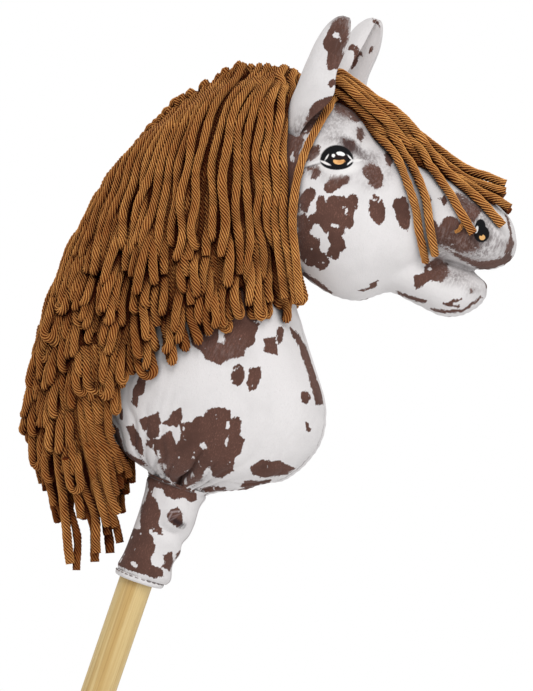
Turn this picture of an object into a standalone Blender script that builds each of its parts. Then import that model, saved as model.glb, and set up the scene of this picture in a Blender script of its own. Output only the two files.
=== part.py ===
# Hobby horse: a stuffed plush head and neck on a wooden stick, with a yarn mane.
# Metres, +Z up along the stick, the horse faces +X. The origin is the centre of
# the stick's lower end face. The horse's right side is at -Y.

import math

import bmesh
import bpy
from mathutils import Vector
from mathutils.bvhtree import BVHTree

# Cloth and clearances
GAP = 0.0003
PLUSH = 0.0016

# Stick
STICK_DIAMETER = 0.025
STICK_LENGTH = 0.800
STICK_CHAMFER = 0.0015
GRIP_LENGTH = 0.540
STICK_STEPS = 32

# Padded cap on the stick's hidden end
PAD_WALL = 0.004
PAD_DEPTH = 0.030
PAD_TOP = 0.008

# Sleeve, its rolled hem and the thread at the waist
SLEEVE_LENGTH = 0.0790
SLEEVE_SIDES = 24
SLEEVE_RINGS = 9
HEM_RADIUS = 0.0017
HEM_SLACK_FRONT = 0.0045
HEM_SLACK_SIDE = 0.0022
THREAD_RADIUS = 0.0010
THREAD_DROP = 0.0022

# Tack that holds the sleeve to the stick
TACK_HEIGHT = 0.0524
TACK_TURN = math.radians(-45)
TACK_HEAD_RADIUS = 0.0040
TACK_HEAD_HEIGHT = 0.0018
TACK_SHANK_RADIUS = 0.0009
TACK_SHANK_LENGTH = 0.016

# Neck, head and lower jaw
NECK_DEPTH = 0.196
NECK_HEIGHT = 0.306
NECK_WIDTH = 0.108
NECK_SIDES = 20
NECK_RINGS = 18
HEAD_LENGTH = 0.1875
HEAD_DEPTH = 0.132
HEAD_WIDTH = 0.088
HEAD_RISE = 0.2326
HEAD_SIDES = 18
HEAD_RINGS = 17
JAW_WIDTH = 0.047
JAW_SIDES = 12
JAW_RINGS = 10

# Ears
EAR_HEIGHT = 0.0995
EAR_DEPTH = 0.0305
EAR_WIDTH = 0.029
EAR_SEAT = 0.0310
EAR_SPACING = 0.054
EAR_SPLAY = 0.015
EAR_PLACE = 0.0075
EAR_LEAN = 0.0035
EAR_CURL = math.radians(108)
EAR_COLUMNS = 9
EAR_ROWS = 9

# Yarn
YARN_RADIUS = 0.0027
YARN_REST = 0.0006
TAPE_HEIGHT = 0.006
TAPE_THICKNESS = 0.0024
TAPE_FIRST_RING = 4
LOCK_DIP = 0.0040
LOCK_THINNEST = 0.0060
LOCK_STATIONS = 8
MANE_DEPTH = 0.014
BUNDLE_WIDTH = 0.026
BUNDLE_SIDES = 10
BUNDLE_RINGS = 12

# Levels that follow from the sizes above
STICK_RADIUS = STICK_DIAMETER / 2
BORE_RADIUS = STICK_RADIUS + GAP
HEM_LEVEL = GRIP_LENGTH
WAIST_LEVEL = HEM_LEVEL + SLEEVE_LENGTH
HEAD_LEVEL = WAIST_LEVEL + HEAD_RISE
SLEEVE_BORE = BORE_RADIUS + PLUSH

# Sleeve: height share, then how far the cloth stands off the stick (back, front, side)
SLEEVE_SHAPE = (
    (0.052, 0.0010, 0.0066, 0.0026),
    (0.110, 0.0022, 0.0090, 0.0034),
    (0.240, 0.0008, 0.0084, 0.0028),
    (0.420, 0.0002, 0.0096, 0.0026),
    (0.680, 0.0002, 0.0127, 0.0034),
    (0.900, 0.0018, 0.0139, 0.0044),
    (0.990, 0.0028, 0.0142, 0.0048),
)

# Neck: back edge (share of depth, share of height), front edge, share of width
NECK_SHAPE = (
    (-0.096, 0.000, 0.164, 0.000, 0.185),
    (-0.216, 0.025, 0.228, 0.021, 0.287),
    (-0.290, 0.063, 0.339, 0.057, 0.370),
    (-0.359, 0.122, 0.429, 0.101, 0.435),
    (-0.440, 0.231, 0.495, 0.198, 0.491),
    (-0.484, 0.312, 0.463, 0.293, 0.500),
    (-0.503, 0.410, 0.353, 0.388, 0.495),
    (-0.493, 0.550, 0.216, 0.512, 0.472),
    (-0.447, 0.672, 0.158, 0.597, 0.435),
    (-0.379, 0.803, 0.147, 0.721, 0.398),
    (-0.300, 0.897, 0.126, 0.852, 0.333),
    (-0.200, 0.959, 0.053, 0.937, 0.241),
    (-0.126, 0.986, -0.037, 0.979, 0.102),
)

# Head: top edge (share of length, share of depth), bottom edge, share of width
HEAD_SHAPE = (
    (-0.077, 0.303, -0.077, -0.167, 0.318),
    (0.000, 0.409, 0.027, -0.280, 0.420),
    (0.099, 0.492, 0.165, -0.405, 0.483),
    (0.242, 0.462, 0.258, -0.458, 0.500),
    (0.363, 0.383, 0.374, -0.496, 0.494),
    (0.462, 0.348, 0.473, -0.481, 0.472),
    (0.555, 0.341, 0.544, -0.413, 0.438),
    (0.637, 0.333, 0.615, -0.326, 0.403),
    (0.720, 0.323, 0.692, -0.197, 0.386),
    (0.808, 0.295, 0.769, -0.110, 0.381),
    (0.885, 0.261, 0.857, -0.102, 0.364),
    (0.945, 0.216, 0.923, -0.083, 0.318),
    (0.984, 0.136, 0.970, -0.038, 0.227),
    (0.997, 0.076, 0.995, 0.015, 0.102),
)

# Lower jaw, in shares of the head's length and depth and of its own width
JAW_SHAPE = (
    (0.505, -0.121, 0.516, -0.364, 0.340),
    (0.582, -0.106, 0.588, -0.375, 0.426),
    (0.665, -0.106, 0.659, -0.383, 0.479),
    (0.753, -0.116, 0.747, -0.399, 0.500),
    (0.830, -0.119, 0.819, -0.404, 0.489),
    (0.893, -0.129, 0.882, -0.367, 0.415),
    (0.931, -0.159, 0.926, -0.303, 0.277),
    (0.945, -0.197, 0.944, -0.250, 0.106),
)

# Ear: height share, back fold, depth and half opening as shares of depth and width
EAR_SHAPE = (
    (0.000, 0.03, 0.30, 0.17),
    (0.090, -0.14, 0.44, 0.28),
    (0.270, -0.25, 0.70, 0.41),
    (0.450, -0.22, 0.98, 0.50),
    (0.590, -0.20, 1.00, 0.48),
    (0.750, -0.14, 0.90, 0.40),
    (0.880, -0.03, 0.69, 0.28),
    (0.960, 0.13, 0.43, 0.16),
    (0.990, 0.28, 0.20, 0.08),
)

# Outer shape of the mane, in the neck's shares
MANE_SHAPE = (
    (-0.526, -0.253, -0.158, -0.253, 0.278),
    (-0.611, -0.063, 0.000, -0.063, 0.407),
    (-0.663, 0.100, 0.263, 0.035, 0.537),
    (-0.679, 0.231, 0.421, 0.165, 0.611),
    (-0.679, 0.361, 0.421, 0.329, 0.620),
    (-0.658, 0.505, 0.316, 0.443, 0.602),
    (-0.615, 0.680, 0.263, 0.597, 0.556),
    (-0.540, 0.800, 0.242, 0.721, 0.509),
    (-0.450, 0.895, 0.200, 0.852, 0.444),
    (-0.300, 0.990, 0.116, 0.956, 0.333),
    (-0.174, 1.018, -0.011, 1.018, 0.167),
)

# Partings between the mane's locks: root, middle and tip, in the neck's shares
RIGHT_PARTINGS = (
    ((-0.074, 1.022), (0.060, 0.757), (0.258, 0.495)),
    ((-0.174, 1.015), (-0.010, 0.692), (0.205, 0.401)),
    ((-0.272, 0.998), (-0.140, 0.642), (0.085, 0.358)),
    ((-0.365, 0.940), (-0.260, 0.574), (-0.045, 0.276)),
    ((-0.455, 0.880), (-0.375, 0.508), (-0.175, 0.139)),
    ((-0.540, 0.790), (-0.465, 0.410), (-0.120, -0.063)),
    ((-0.600, 0.710), (-0.530, 0.329), (-0.140, -0.210)),
    ((-0.632, 0.615), (-0.590, 0.263), (-0.300, -0.246)),
    ((-0.655, 0.518), (-0.635, 0.231), (-0.460, -0.112)),
    ((-0.674, 0.394), (-0.671, 0.231), (-0.616, -0.011)),
)
LEFT_PARTINGS = (
    ((-0.074, 1.022), (0.040, 0.757), (0.200, 0.520)),
    ((-0.272, 0.998), (-0.160, 0.642), (0.030, 0.400)),
    ((-0.455, 0.880), (-0.360, 0.508), (-0.150, 0.220)),
    ((-0.540, 0.790), (-0.470, 0.410), (-0.150, 0.020)),
    ((-0.600, 0.710), (-0.540, 0.329), (-0.150, -0.190)),
    ((-0.655, 0.518), (-0.620, 0.231), (-0.390, -0.180)),
    ((-0.674, 0.394), (-0.671, 0.231), (-0.600, -0.011)),
)

# Forelock bundle between the ears: top edge, bottom edge, share of its width
BUNDLE_SHAPE = (
    (-0.044, 0.606, -0.044, 0.424, 0.269),
    (0.055, 0.659, 0.055, 0.379, 0.423),
    (0.159, 0.674, 0.159, 0.379, 0.500),
    (0.264, 0.636, 0.264, 0.364, 0.500),
    (0.368, 0.615, 0.368, 0.303, 0.481),
    (0.467, 0.570, 0.467, 0.273, 0.462),
    (0.560, 0.525, 0.560, 0.265, 0.423),
    (0.659, 0.475, 0.659, 0.258, 0.385),
    (0.742, 0.435, 0.742, 0.250, 0.346),
    (0.824, 0.410, 0.824, 0.227, 0.308),
    (0.890, 0.395, 0.885, 0.242, 0.231),
    (0.935, 0.365, 0.930, 0.300, 0.135),
)

# Single strands over the face, in the head's shares
CHEEK_ROUTE = (
    (0.168, 0.500), (0.160, 0.438), (0.148, 0.293), (0.143, 0.151),
    (0.152, -0.020), (0.182, -0.212), (0.235, -0.391), (0.300, -0.608),
)
FORELOCK_ROUTES = (
    ((0.268, 0.494), (0.405, 0.361), (0.515, 0.194), (0.607, 0.017), (0.665, -0.108), (0.714, -0.167)),
    ((0.375, 0.447), (0.455, 0.374), (0.580, 0.207), (0.672, 0.032), (0.720, -0.063), (0.750, -0.112)),
    ((0.465, 0.414), (0.610, 0.285), (0.722, 0.179), (0.795, 0.112), (0.845, 0.065)),
    ((0.498, 0.447), (0.655, 0.343), (0.782, 0.267), (0.883, 0.203), (0.940, 0.160)),
)
STRAND_POINTS = 16

COLLECTION = "hobby_horse"
RIGHT = -1
LEFT = 1

# Colour, roughness of each finish
PLUSH_WHITE = ((0.80, 0.78, 0.80), 0.90)
PLUSH_INSIDE = ((0.70, 0.68, 0.69), 0.95)
STUFFING = ((0.88, 0.88, 0.86), 1.00)
YARN = ((0.45, 0.21, 0.05), 0.85)
PINE = ((0.68, 0.50, 0.28), 0.55)
STEEL = ((0.55, 0.55, 0.56), 0.35)
THREAD = ((0.15, 0.10, 0.09), 0.70)
FELT = ((0.50, 0.48, 0.45), 1.00)


def clear_scene():
    for item in list(bpy.data.objects):
        bpy.data.objects.remove(item, do_unlink=True)


def new_collection(name):
    collection = bpy.data.collections.new(name)
    bpy.context.scene.collection.children.link(collection)
    return collection


def add_finish(item, finish, metallic=0.0):
    """Give an object its own Principled material."""
    colour, roughness = finish
    material = bpy.data.materials.new(item.name)
    material.use_nodes = True
    shader = material.node_tree.nodes["Principled BSDF"]
    shader.inputs["Base Color"].default_value = (*colour, 1.0)
    shader.inputs["Roughness"].default_value = roughness
    shader.inputs["Metallic"].default_value = metallic
    item.data.materials.clear()
    item.data.materials.append(material)


def add_object(name, data, collection):
    item = bpy.data.objects.new(name, data)
    collection.objects.link(item)
    if collection == cutters:
        item.hide_render = True
        item.display_type = 'WIRE'
    return item


def through(stations, count):
    """Rows on a smooth curve through the stations, evenly spaced in steps."""
    last = len(stations) - 1
    rows = []
    for step in range(count):
        place = step * last / (count - 1)
        index = min(int(place), last - 1)
        t = place - index
        before = stations[max(index - 1, 0)]
        start = stations[index]
        end = stations[index + 1]
        after = stations[min(index + 2, last)]
        row = []
        for p, q, r, s in zip(before, start, end, after):
            bend = 2 * p - 5 * q + 4 * r - s + t * (3 * (q - r) + s - p)
            row.append(q + 0.5 * t * (r - p + t * bend))
        rows.append(tuple(row))
    return rows


def loft(name, rings, collection):
    """A closed skin over rings of equal point counts, with flat ends.

    It is cut into triangles, so that grown and shrunk copies bend along the same lines.
    """
    bm = bmesh.new()
    loops = [[bm.verts.new(point) for point in ring] for ring in rings]
    for low, high in zip(loops, loops[1:]):
        for index in range(len(low)):
            following = (index + 1) % len(low)
            bm.faces.new((low[index], low[following], high[following], high[index]))
    bm.faces.new(loops[0])
    bm.faces.new(loops[-1])
    bmesh.ops.recalc_face_normals(bm, faces=bm.faces)
    bmesh.ops.triangulate(bm, faces=bm.faces)
    mesh = bpy.data.meshes.new(name)
    bm.to_mesh(mesh)
    bm.free()
    mesh.shade_smooth()
    return add_object(name, mesh, collection)


def oval_ring(edge_a, edge_b, half_width, sides):
    """An oval whose long axis joins two edge points in the middle plane."""
    middle = (edge_a + edge_b) / 2
    reach = (edge_b - edge_a) / 2
    ring = []
    for index in range(sides):
        turn = 2 * math.pi * index / sides
        ring.append(middle + reach * math.cos(turn) + Vector((0, half_width * math.sin(turn), 0)))
    return ring


def on_neck(share):
    return Vector((share[0] * NECK_DEPTH, 0, WAIST_LEVEL + share[1] * NECK_HEIGHT))


def on_head(share):
    return Vector((share[0] * HEAD_LENGTH, 0, HEAD_LEVEL + share[1] * HEAD_DEPTH))


def stuffed_form(name, shape, rings, sides, place, width):
    """A closed form from two edge lines and a width."""
    rows = through(shape, rings)
    ovals = [oval_ring(place(row[0:2]), place(row[2:4]), row[4] * width, sides) for row in rows]
    return loft(name, ovals, cutters)


def offset_copy(form, name, distance, collection):
    """A copy of a closed form, grown or shrunk along its normals."""
    item = add_object(name, form.data.copy(), collection)
    displace = item.modifiers.new("offset", 'DISPLACE')
    displace.strength = distance
    displace.mid_level = 0
    return item


def boolean(item, other, operation='DIFFERENCE'):
    modifier = item.modifiers.new(other.name, 'BOOLEAN')
    modifier.operation = operation
    modifier.solver = 'EXACT'
    modifier.object = other


def cylinder(name, radius, depth, location, steps, collection, rotation=(0, 0, 0)):
    bpy.ops.mesh.primitive_cylinder_add(
        vertices=steps, radius=radius, depth=depth, location=location, rotation=rotation)
    item = bpy.context.object
    item.name = name
    move_to(item, collection)
    item.data.shade_smooth()
    item.data.set_sharp_from_angle(angle=math.radians(40))
    return item


def move_to(item, collection):
    for owner in list(item.users_collection):
        owner.objects.unlink(item)
    collection.objects.link(item)
    if collection == cutters:
        item.hide_render = True
        item.display_type = 'WIRE'


def half_space(name, side):
    """A large block on the other side of the middle plane, GAP wide in all."""
    size = 2 * STICK_LENGTH
    bpy.ops.mesh.primitive_cube_add(size=size, location=(0, -side * (size / 2 - GAP / 2), STICK_LENGTH))
    item = bpy.context.object
    item.name = name
    move_to(item, cutters)
    return item


def turned(name, profile, steps, collection):
    """A solid turned about Z from a profile that runs down its outer side."""
    mesh = bpy.data.meshes.new(name)
    edges = [(index, index + 1) for index in range(len(profile) - 1)]
    mesh.from_pydata([(radius, 0, height) for radius, height in profile], edges, [])
    item = add_object(name, mesh, collection)
    screw = item.modifiers.new("turn", 'SCREW')
    screw.steps = steps
    screw.render_steps = steps
    screw.use_merge_vertices = True
    screw.merge_threshold = 0.00001
    return item


def tube(name, points, radius, resolution, cyclic, collection):
    """A round tube along a chain of points."""
    curve = bpy.data.curves.new(name, 'CURVE')
    curve.dimensions = '3D'
    curve.bevel_depth = radius
    curve.bevel_resolution = resolution
    curve.use_fill_caps = True
    spline = curve.splines.new('POLY')
    spline.points.add(len(points) - 1)
    for place, point in zip(spline.points, points):
        place.co = (*point, 1)
    spline.use_cyclic_u = cyclic
    return add_object(name, curve, collection)


def outer_surface(item):
    """A search tree of an object's finished faces."""
    depsgraph = bpy.context.evaluated_depsgraph_get()
    return BVHTree.FromObject(item, depsgraph)


def side_reach(trees, x, z):
    """How far the given forms reach from the middle plane at x and z."""
    reach = 0.0
    for tree in trees:
        hit = tree.ray_cast(Vector((x, -1, z)), Vector((0, 1, 0)))[0]
        if hit is not None:
            reach = max(reach, -hit.y)
    return reach


def resting_reach(trees, x, z, radius):
    """How far out the centre of a round strand lies on the given forms."""
    reach = side_reach(trees, x, z) + radius
    for share in (0.5, 0.8, 1.0):
        rise = radius * math.sqrt(1 - share * share)
        for step in range(16):
            turn = math.pi * step / 8
            at_x = x + share * radius * math.cos(turn)
            at_z = z + share * radius * math.sin(turn)
            reach = max(reach, side_reach(trees, at_x, at_z) + rise)
    return reach


def make_stick():
    """The dowel, with small chamfers, its tack hole and its two flat ends."""
    top = STICK_LENGTH
    profile = (
        (0, top),
        (STICK_RADIUS - STICK_CHAMFER, top),
        (STICK_RADIUS, top - STICK_CHAMFER),
        (STICK_RADIUS, STICK_CHAMFER),
        (STICK_RADIUS - STICK_CHAMFER, 0),
        (0, 0),
    )
    stick = turned("stick", profile, STICK_STEPS, parts)
    boolean(stick, tack_hole)
    add_finish(stick, PINE)


def make_stick_end_pad():
    """A felt cap that sits over the stick's hidden end."""
    wall = BORE_RADIUS + PAD_WALL
    roof = STICK_LENGTH + GAP
    profile = (
        (0, roof + PAD_TOP),
        (wall - PAD_WALL / 2, roof + PAD_TOP),
        (wall, roof + PAD_TOP - PAD_WALL / 2),
        (wall, roof - PAD_DEPTH),
        (BORE_RADIUS, roof - PAD_DEPTH),
        (BORE_RADIUS, roof),
        (0, roof),
    )
    pad = turned("stick_end_pad", profile, STICK_STEPS, parts)
    add_finish(pad, FELT)


def sleeve_rings(inset):
    """Ovals of the sleeve, from the hem up, drawn in by the given amount."""
    rings = []
    for share, back, front, side in through(SLEEVE_SHAPE, SLEEVE_RINGS):
        level = HEM_LEVEL + share * SLEEVE_LENGTH
        edge_a = Vector((-(SLEEVE_BORE + back - inset), 0, level))
        edge_b = Vector((SLEEVE_BORE + front - inset, 0, level))
        rings.append(oval_ring(edge_a, edge_b, SLEEVE_BORE + side - inset, SLEEVE_SIDES))
    return rings


def make_sleeve():
    """The loose tube of cloth over the stick, open at both ends."""
    sleeve = loft("sleeve", sleeve_rings(0), parts)
    inside = sleeve_rings(PLUSH)
    clear_below = [point - Vector((0, 0, PLUSH)) for point in inside[0]]
    clear_above = [point + Vector((0, 0, PLUSH)) for point in inside[-1]]
    bore = loft("sleeve_bore", [clear_below, *inside, clear_above], cutters)
    boolean(sleeve, bore)
    boolean(sleeve, tack_hole)
    add_finish(sleeve, PLUSH_WHITE)


def make_hem():
    """The rolled edge below the sleeve."""
    inner = BORE_RADIUS + HEM_RADIUS
    sleeve_foot = HEM_LEVEL + SLEEVE_SHAPE[0][0] * SLEEVE_LENGTH
    level = sleeve_foot - GAP - HEM_RADIUS
    edge_a = Vector((-inner - GAP, 0, level))
    edge_b = Vector((inner + HEM_SLACK_FRONT, 0, level))
    ring = oval_ring(edge_a, edge_b, inner + HEM_SLACK_SIDE, SLEEVE_SIDES)
    hem = tube("sleeve_hem", ring, HEM_RADIUS, 1, True, parts)
    add_finish(hem, PLUSH_WHITE)


def make_gather_thread():
    """The thread that draws the cloth in at the waist."""
    share, back, front, side = SLEEVE_SHAPE[-1]
    level = HEM_LEVEL + share * SLEEVE_LENGTH - THREAD_DROP
    out = SLEEVE_BORE + GAP * 2 + THREAD_RADIUS
    edge_a = Vector((-(out + back), 0, level))
    edge_b = Vector((out + front, 0, level))
    ring = oval_ring(edge_a, edge_b, out + side, SLEEVE_SIDES)
    thread = tube("gather_thread", ring, THREAD_RADIUS, 1, True, parts)
    add_finish(thread, THREAD)


def tack_seat():
    """Distance from the stick's axis to the sleeve where the tack goes in."""
    share = TACK_HEIGHT / SLEEVE_LENGTH
    rows = through(SLEEVE_SHAPE, 40 * SLEEVE_RINGS)
    row = min(rows, key=lambda entry: abs(entry[0] - share))
    back, front, side = (SLEEVE_BORE + slack for slack in row[1:])
    middle = (front - back) / 2
    long_axis = (front + back) / 2
    # Where the ray from the axis meets the oval
    along, across = math.cos(TACK_TURN), math.sin(TACK_TURN)
    a = (along / long_axis) ** 2 + (across / side) ** 2
    b = -2 * middle * along / long_axis ** 2
    c = (middle / long_axis) ** 2 - 1
    return (-b + math.sqrt(b * b - 4 * a * c)) / (2 * a)


def tack_frame(distance):
    """Place and turn of something on the tack's axis."""
    outward = Vector((math.cos(TACK_TURN), math.sin(TACK_TURN), 0))
    return outward * distance + Vector((0, 0, HEM_LEVEL + TACK_HEIGHT)), (0, math.pi / 2, TACK_TURN)


def make_tack_hole():
    depth = 4 * TACK_SHANK_LENGTH
    inner_end = tack_seat() - TACK_SHANK_LENGTH - GAP
    place, turn = tack_frame(inner_end + depth / 2)
    return cylinder("tack_hole", TACK_SHANK_RADIUS + GAP, depth, place, 10, cutters, turn)


def make_tack():
    """A tack with a low domed head, its shank through the sleeve into the stick."""
    seat = tack_seat() + TACK_HEAD_RADIUS ** 2 / (2 * SLEEVE_BORE) + 2 * GAP
    profile = [(0, TACK_HEAD_HEIGHT)]
    for step in range(1, 5):
        turn = math.pi / 2 * step / 4
        profile.append((TACK_HEAD_RADIUS * math.sin(turn), TACK_HEAD_HEIGHT * math.cos(turn)))
    shank_end = tack_seat() - TACK_SHANK_LENGTH - seat
    profile += [
        (TACK_SHANK_RADIUS, 0),
        (TACK_SHANK_RADIUS, shank_end + 2 * TACK_SHANK_RADIUS),
        (0, shank_end),
    ]
    tack = turned("sleeve_tack", profile, 16, parts)
    tack.location, tack.rotation_euler = tack_frame(seat)
    add_finish(tack, STEEL, 1.0)


def make_neck():
    """Filling and two panels of the neck, around the stick."""
    filling = offset_copy(neck_form, "neck_filling", -(PLUSH + GAP), parts)
    bore_top = STICK_LENGTH + GAP
    bore_foot = WAIST_LEVEL - 2 * PLUSH
    bore = cylinder("neck_bore", BORE_RADIUS, bore_top - bore_foot,
                    (0, 0, (bore_top + bore_foot) / 2), STICK_STEPS, cutters)
    pad_top = STICK_LENGTH + PAD_TOP + 2 * GAP
    pad_foot = STICK_LENGTH - PAD_DEPTH
    pad_room = cylinder("pad_room", BORE_RADIUS + PAD_WALL + GAP, pad_top - pad_foot,
                        (0, 0, (pad_top + pad_foot) / 2), STICK_STEPS, cutters)
    boolean(filling, bore)
    boolean(filling, pad_room)
    add_finish(filling, STUFFING)
    for name, side in (("neck_panel_right", RIGHT), ("neck_panel_left", LEFT)):
        panel = add_object(name, neck_form.data.copy(), parts)
        boolean(panel, half_spaces[side])
        boolean(panel, neck_inside)
        boolean(panel, head_inside)
        boolean(panel, bore)
        add_finish(panel, PLUSH_WHITE)


def make_head():
    """Filling and two panels of the head, set on the neck."""
    filling = offset_copy(head_form, "head_filling", -(PLUSH + GAP), parts)
    boolean(filling, neck_inside)
    add_finish(filling, STUFFING)
    for name, side in (("head_panel_right", RIGHT), ("head_panel_left", LEFT)):
        panel = add_object(name, head_form.data.copy(), parts)
        boolean(panel, half_spaces[side])
        boolean(panel, neck_grown)
        boolean(panel, head_inside)
        boolean(panel, jaw_inside)
        add_finish(panel, PLUSH_WHITE)


def make_jaw():
    """Filling and cover of the lower jaw, set under the head."""
    filling = offset_copy(jaw_form, "jaw_filling", -(PLUSH + GAP), parts)
    boolean(filling, head_inside)
    add_finish(filling, STUFFING)
    cover = add_object("jaw_cover", jaw_form.data.copy(), parts)
    boolean(cover, jaw_inside)
    boolean(cover, head_grown)
    add_finish(cover, PLUSH_WHITE)


def ear_cloth(name, side, sink, first_row, last_row):
    """One folded leaf of an ear: rows from base to tip, open to the front."""
    bm = bmesh.new()
    rows = through(EAR_SHAPE, EAR_ROWS)[first_row:last_row]
    grid = []
    for height, fold, depth, opening in rows:
        spread = EAR_SPACING / 2 + EAR_SPLAY * height
        line = []
        for column in range(EAR_COLUMNS):
            turn = EAR_CURL * (2 * column / (EAR_COLUMNS - 1) - 1)
            deep = depth * (1 - math.cos(turn)) / (1 - math.cos(EAR_CURL))
            x = EAR_PLACE + EAR_LEAN * height + (fold + deep) * EAR_DEPTH
            y = side * (spread + opening * EAR_WIDTH * math.sin(turn))
            line.append(bm.verts.new((x, y, HEAD_LEVEL + EAR_SEAT + height * EAR_HEIGHT)))
        grid.append(line)
    for low, high in zip(grid, grid[1:]):
        for index in range(EAR_COLUMNS - 1):
            corners = (low[index], low[index + 1], high[index + 1], high[index])
            bm.faces.new(corners[::-1] if side == LEFT else corners)
    mesh = bpy.data.meshes.new(name)
    bm.to_mesh(mesh)
    bm.free()
    mesh.shade_smooth()
    ear = add_object(name, mesh, parts)
    inward = ear.modifiers.new("inward", 'DISPLACE')
    inward.strength = -sink
    inward.mid_level = 0
    wall = ear.modifiers.new("cloth", 'SOLIDIFY')
    wall.thickness = PLUSH
    wall.offset = -1
    boolean(ear, neck_grown)
    boolean(ear, head_grown)
    return ear


def make_ears():
    for word, side in (("right", RIGHT), ("left", LEFT)):
        add_finish(ear_cloth(f"ear_{word}", side, 0, 0, EAR_ROWS), PLUSH_WHITE)
        add_finish(ear_cloth(f"ear_lining_{word}", side, PLUSH + GAP, 2, EAR_ROWS - 1), PLUSH_INSIDE)


def make_tape():
    """The folded tape that stands in the crest seam and carries the yarn."""
    rows = through(NECK_SHAPE, NECK_RINGS)[TAPE_FIRST_RING:-1]
    crest = [on_neck(row[0:2]) for row in rows]
    lower, upper = [], []
    for index, point in enumerate(crest):
        ahead = crest[min(index + 1, len(crest) - 1)] - crest[max(index - 1, 0)]
        outward = Vector((-ahead.z, 0, ahead.x)).normalized()
        half = Vector((0, TAPE_THICKNESS / 2, 0))
        lower.append(point + outward * GAP * 1.5)
        upper.append(point + outward * TAPE_HEIGHT)
    rings = [[a - half, a + half, b + half, b - half] for a, b in zip(lower, upper)]
    tape = loft("mane_tape", rings, parts)
    add_finish(tape, THREAD)
    return tape


def parting_point(parting, share):
    """A point on the curve through a parting's root, middle and tip."""
    root, middle, tip = (on_neck(point) for point in parting)
    control = middle * 2 - (root + tip) / 2
    return root * (1 - share) ** 2 + control * 2 * share * (1 - share) + tip * share ** 2


def lock_end(share):
    """How full a lock is along its length: thin at the root, round at the tip."""
    root = min(1, 0.35 + share / 0.20)
    tip = math.sqrt(max(0.12, 1 - max(0, (share - 0.75) / 0.25) ** 2))
    return min(root, tip)


def make_lock(name, parting_a, parting_b, side):
    """One lock of the mane between two partings, seated on the neck and the tape."""
    rings = []
    for station in range(LOCK_STATIONS):
        share = station / (LOCK_STATIONS - 1)
        edge_a = parting_point(parting_a, share)
        edge_b = parting_point(parting_b, share)
        across = edge_b - edge_a
        inset = GAP / across.length
        inner, outer = [], []
        for column in range(5):
            w = inset + (1 - 2 * inset) * column / 4
            bow = 2 * w - 1
            # The lock's end rows curve, so that it ends in a round lobe
            slide = 0.05 * bow * bow
            lobe = share - slide if station == LOCK_STATIONS - 1 else share
            point = parting_point(parting_a, lobe) * (1 - w) + parting_point(parting_b, lobe) * w
            base = resting_reach(carrier_trees, point.x, point.z, YARN_RADIUS)
            full = max(side_reach(mane_trees, point.x, point.z), base)
            full = base + (full - base) * lock_end(share) - LOCK_DIP * bow * bow
            full = max(full, base + LOCK_THINNEST - YARN_RADIUS)
            outer.append(Vector((point.x, side * full, point.z)))
            if column % 2 == 0:
                inner.append(Vector((point.x, side * GAP, point.z)))
        rings.append(inner + outer[::-1])
    lock = loft(name, rings, parts)
    boolean(lock, neck_grown)
    boolean(lock, head_grown)
    boolean(lock, tape_room)
    add_finish(lock, YARN)


def make_mane():
    for word, side, partings in (("right", RIGHT, RIGHT_PARTINGS), ("left", LEFT, LEFT_PARTINGS)):
        for index, (parting_a, parting_b) in enumerate(zip(partings, partings[1:])):
            make_lock(f"mane_{word}_{index + 1}", parting_a, parting_b, side)


def make_forelock_bundle():
    """The thick bunch of yarn that lies from the poll down the nose."""
    rows = through(BUNDLE_SHAPE, BUNDLE_RINGS)
    rings = []
    for row in rows:
        rings.append(oval_ring(on_head(row[0:2]), on_head(row[2:4]), row[4] * BUNDLE_WIDTH, BUNDLE_SIDES))
    bundle = loft("forelock_bundle", rings, parts)
    boolean(bundle, head_grown)
    boolean(bundle, neck_grown)
    add_finish(bundle, YARN)


def make_strand(name, route, side, hangs=False):
    """One yarn that lies taut over the face, or hangs straight down from the cheek."""
    points = [on_head(share) for share in through(route, STRAND_POINTS)]
    reach = [resting_reach(face_trees, p.x, p.z, YARN_RADIUS) + YARN_REST for p in points]
    if hangs:
        reach = [max(reach[:index + 1]) for index in range(len(reach))]
    for _ in range(20):
        for index in range(1, len(reach) - 1):
            reach[index] = max(reach[index], (reach[index - 1] + reach[index + 1]) / 2)
    path = [Vector((p.x, side * out, p.z)) for p, out in zip(points, reach)]
    add_finish(tube(name, path, YARN_RADIUS, 1, False, parts), YARN)


def make_strands():
    make_strand("cheek_strand_right", CHEEK_ROUTE, RIGHT, hangs=True)
    make_strand("cheek_strand_left", CHEEK_ROUTE, LEFT, hangs=True)
    for index, route in enumerate(FORELOCK_ROUTES):
        make_strand(f"forelock_strand_right_{index + 1}", route, RIGHT)
    for index, route in enumerate(FORELOCK_ROUTES[1::2]):
        make_strand(f"forelock_strand_left_{index + 1}", route, LEFT)


clear_scene()
parts = new_collection(COLLECTION)
cutters = new_collection("cutters")

neck_form = stuffed_form("neck_form", NECK_SHAPE, NECK_RINGS, NECK_SIDES, on_neck, NECK_WIDTH)
head_form = stuffed_form("head_form", HEAD_SHAPE, HEAD_RINGS, HEAD_SIDES, on_head, HEAD_WIDTH)
jaw_form = stuffed_form("jaw_form", JAW_SHAPE, JAW_RINGS, JAW_SIDES, on_head, JAW_WIDTH)
neck_inside = offset_copy(neck_form, "neck_inside", -PLUSH, cutters)
head_inside = offset_copy(head_form, "head_inside", -PLUSH, cutters)
jaw_inside = offset_copy(jaw_form, "jaw_inside", -PLUSH, cutters)
neck_grown = offset_copy(neck_form, "neck_grown", GAP, cutters)
head_grown = offset_copy(head_form, "head_grown", GAP, cutters)
half_spaces = {side: half_space(f"half_space_{side}", side) for side in (RIGHT, LEFT)}
tack_hole = make_tack_hole()

make_stick()
make_stick_end_pad()
make_sleeve()
make_hem()
make_gather_thread()
make_tack()
make_neck()
make_head()
make_jaw()
make_ears()
tape = make_tape()

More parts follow.
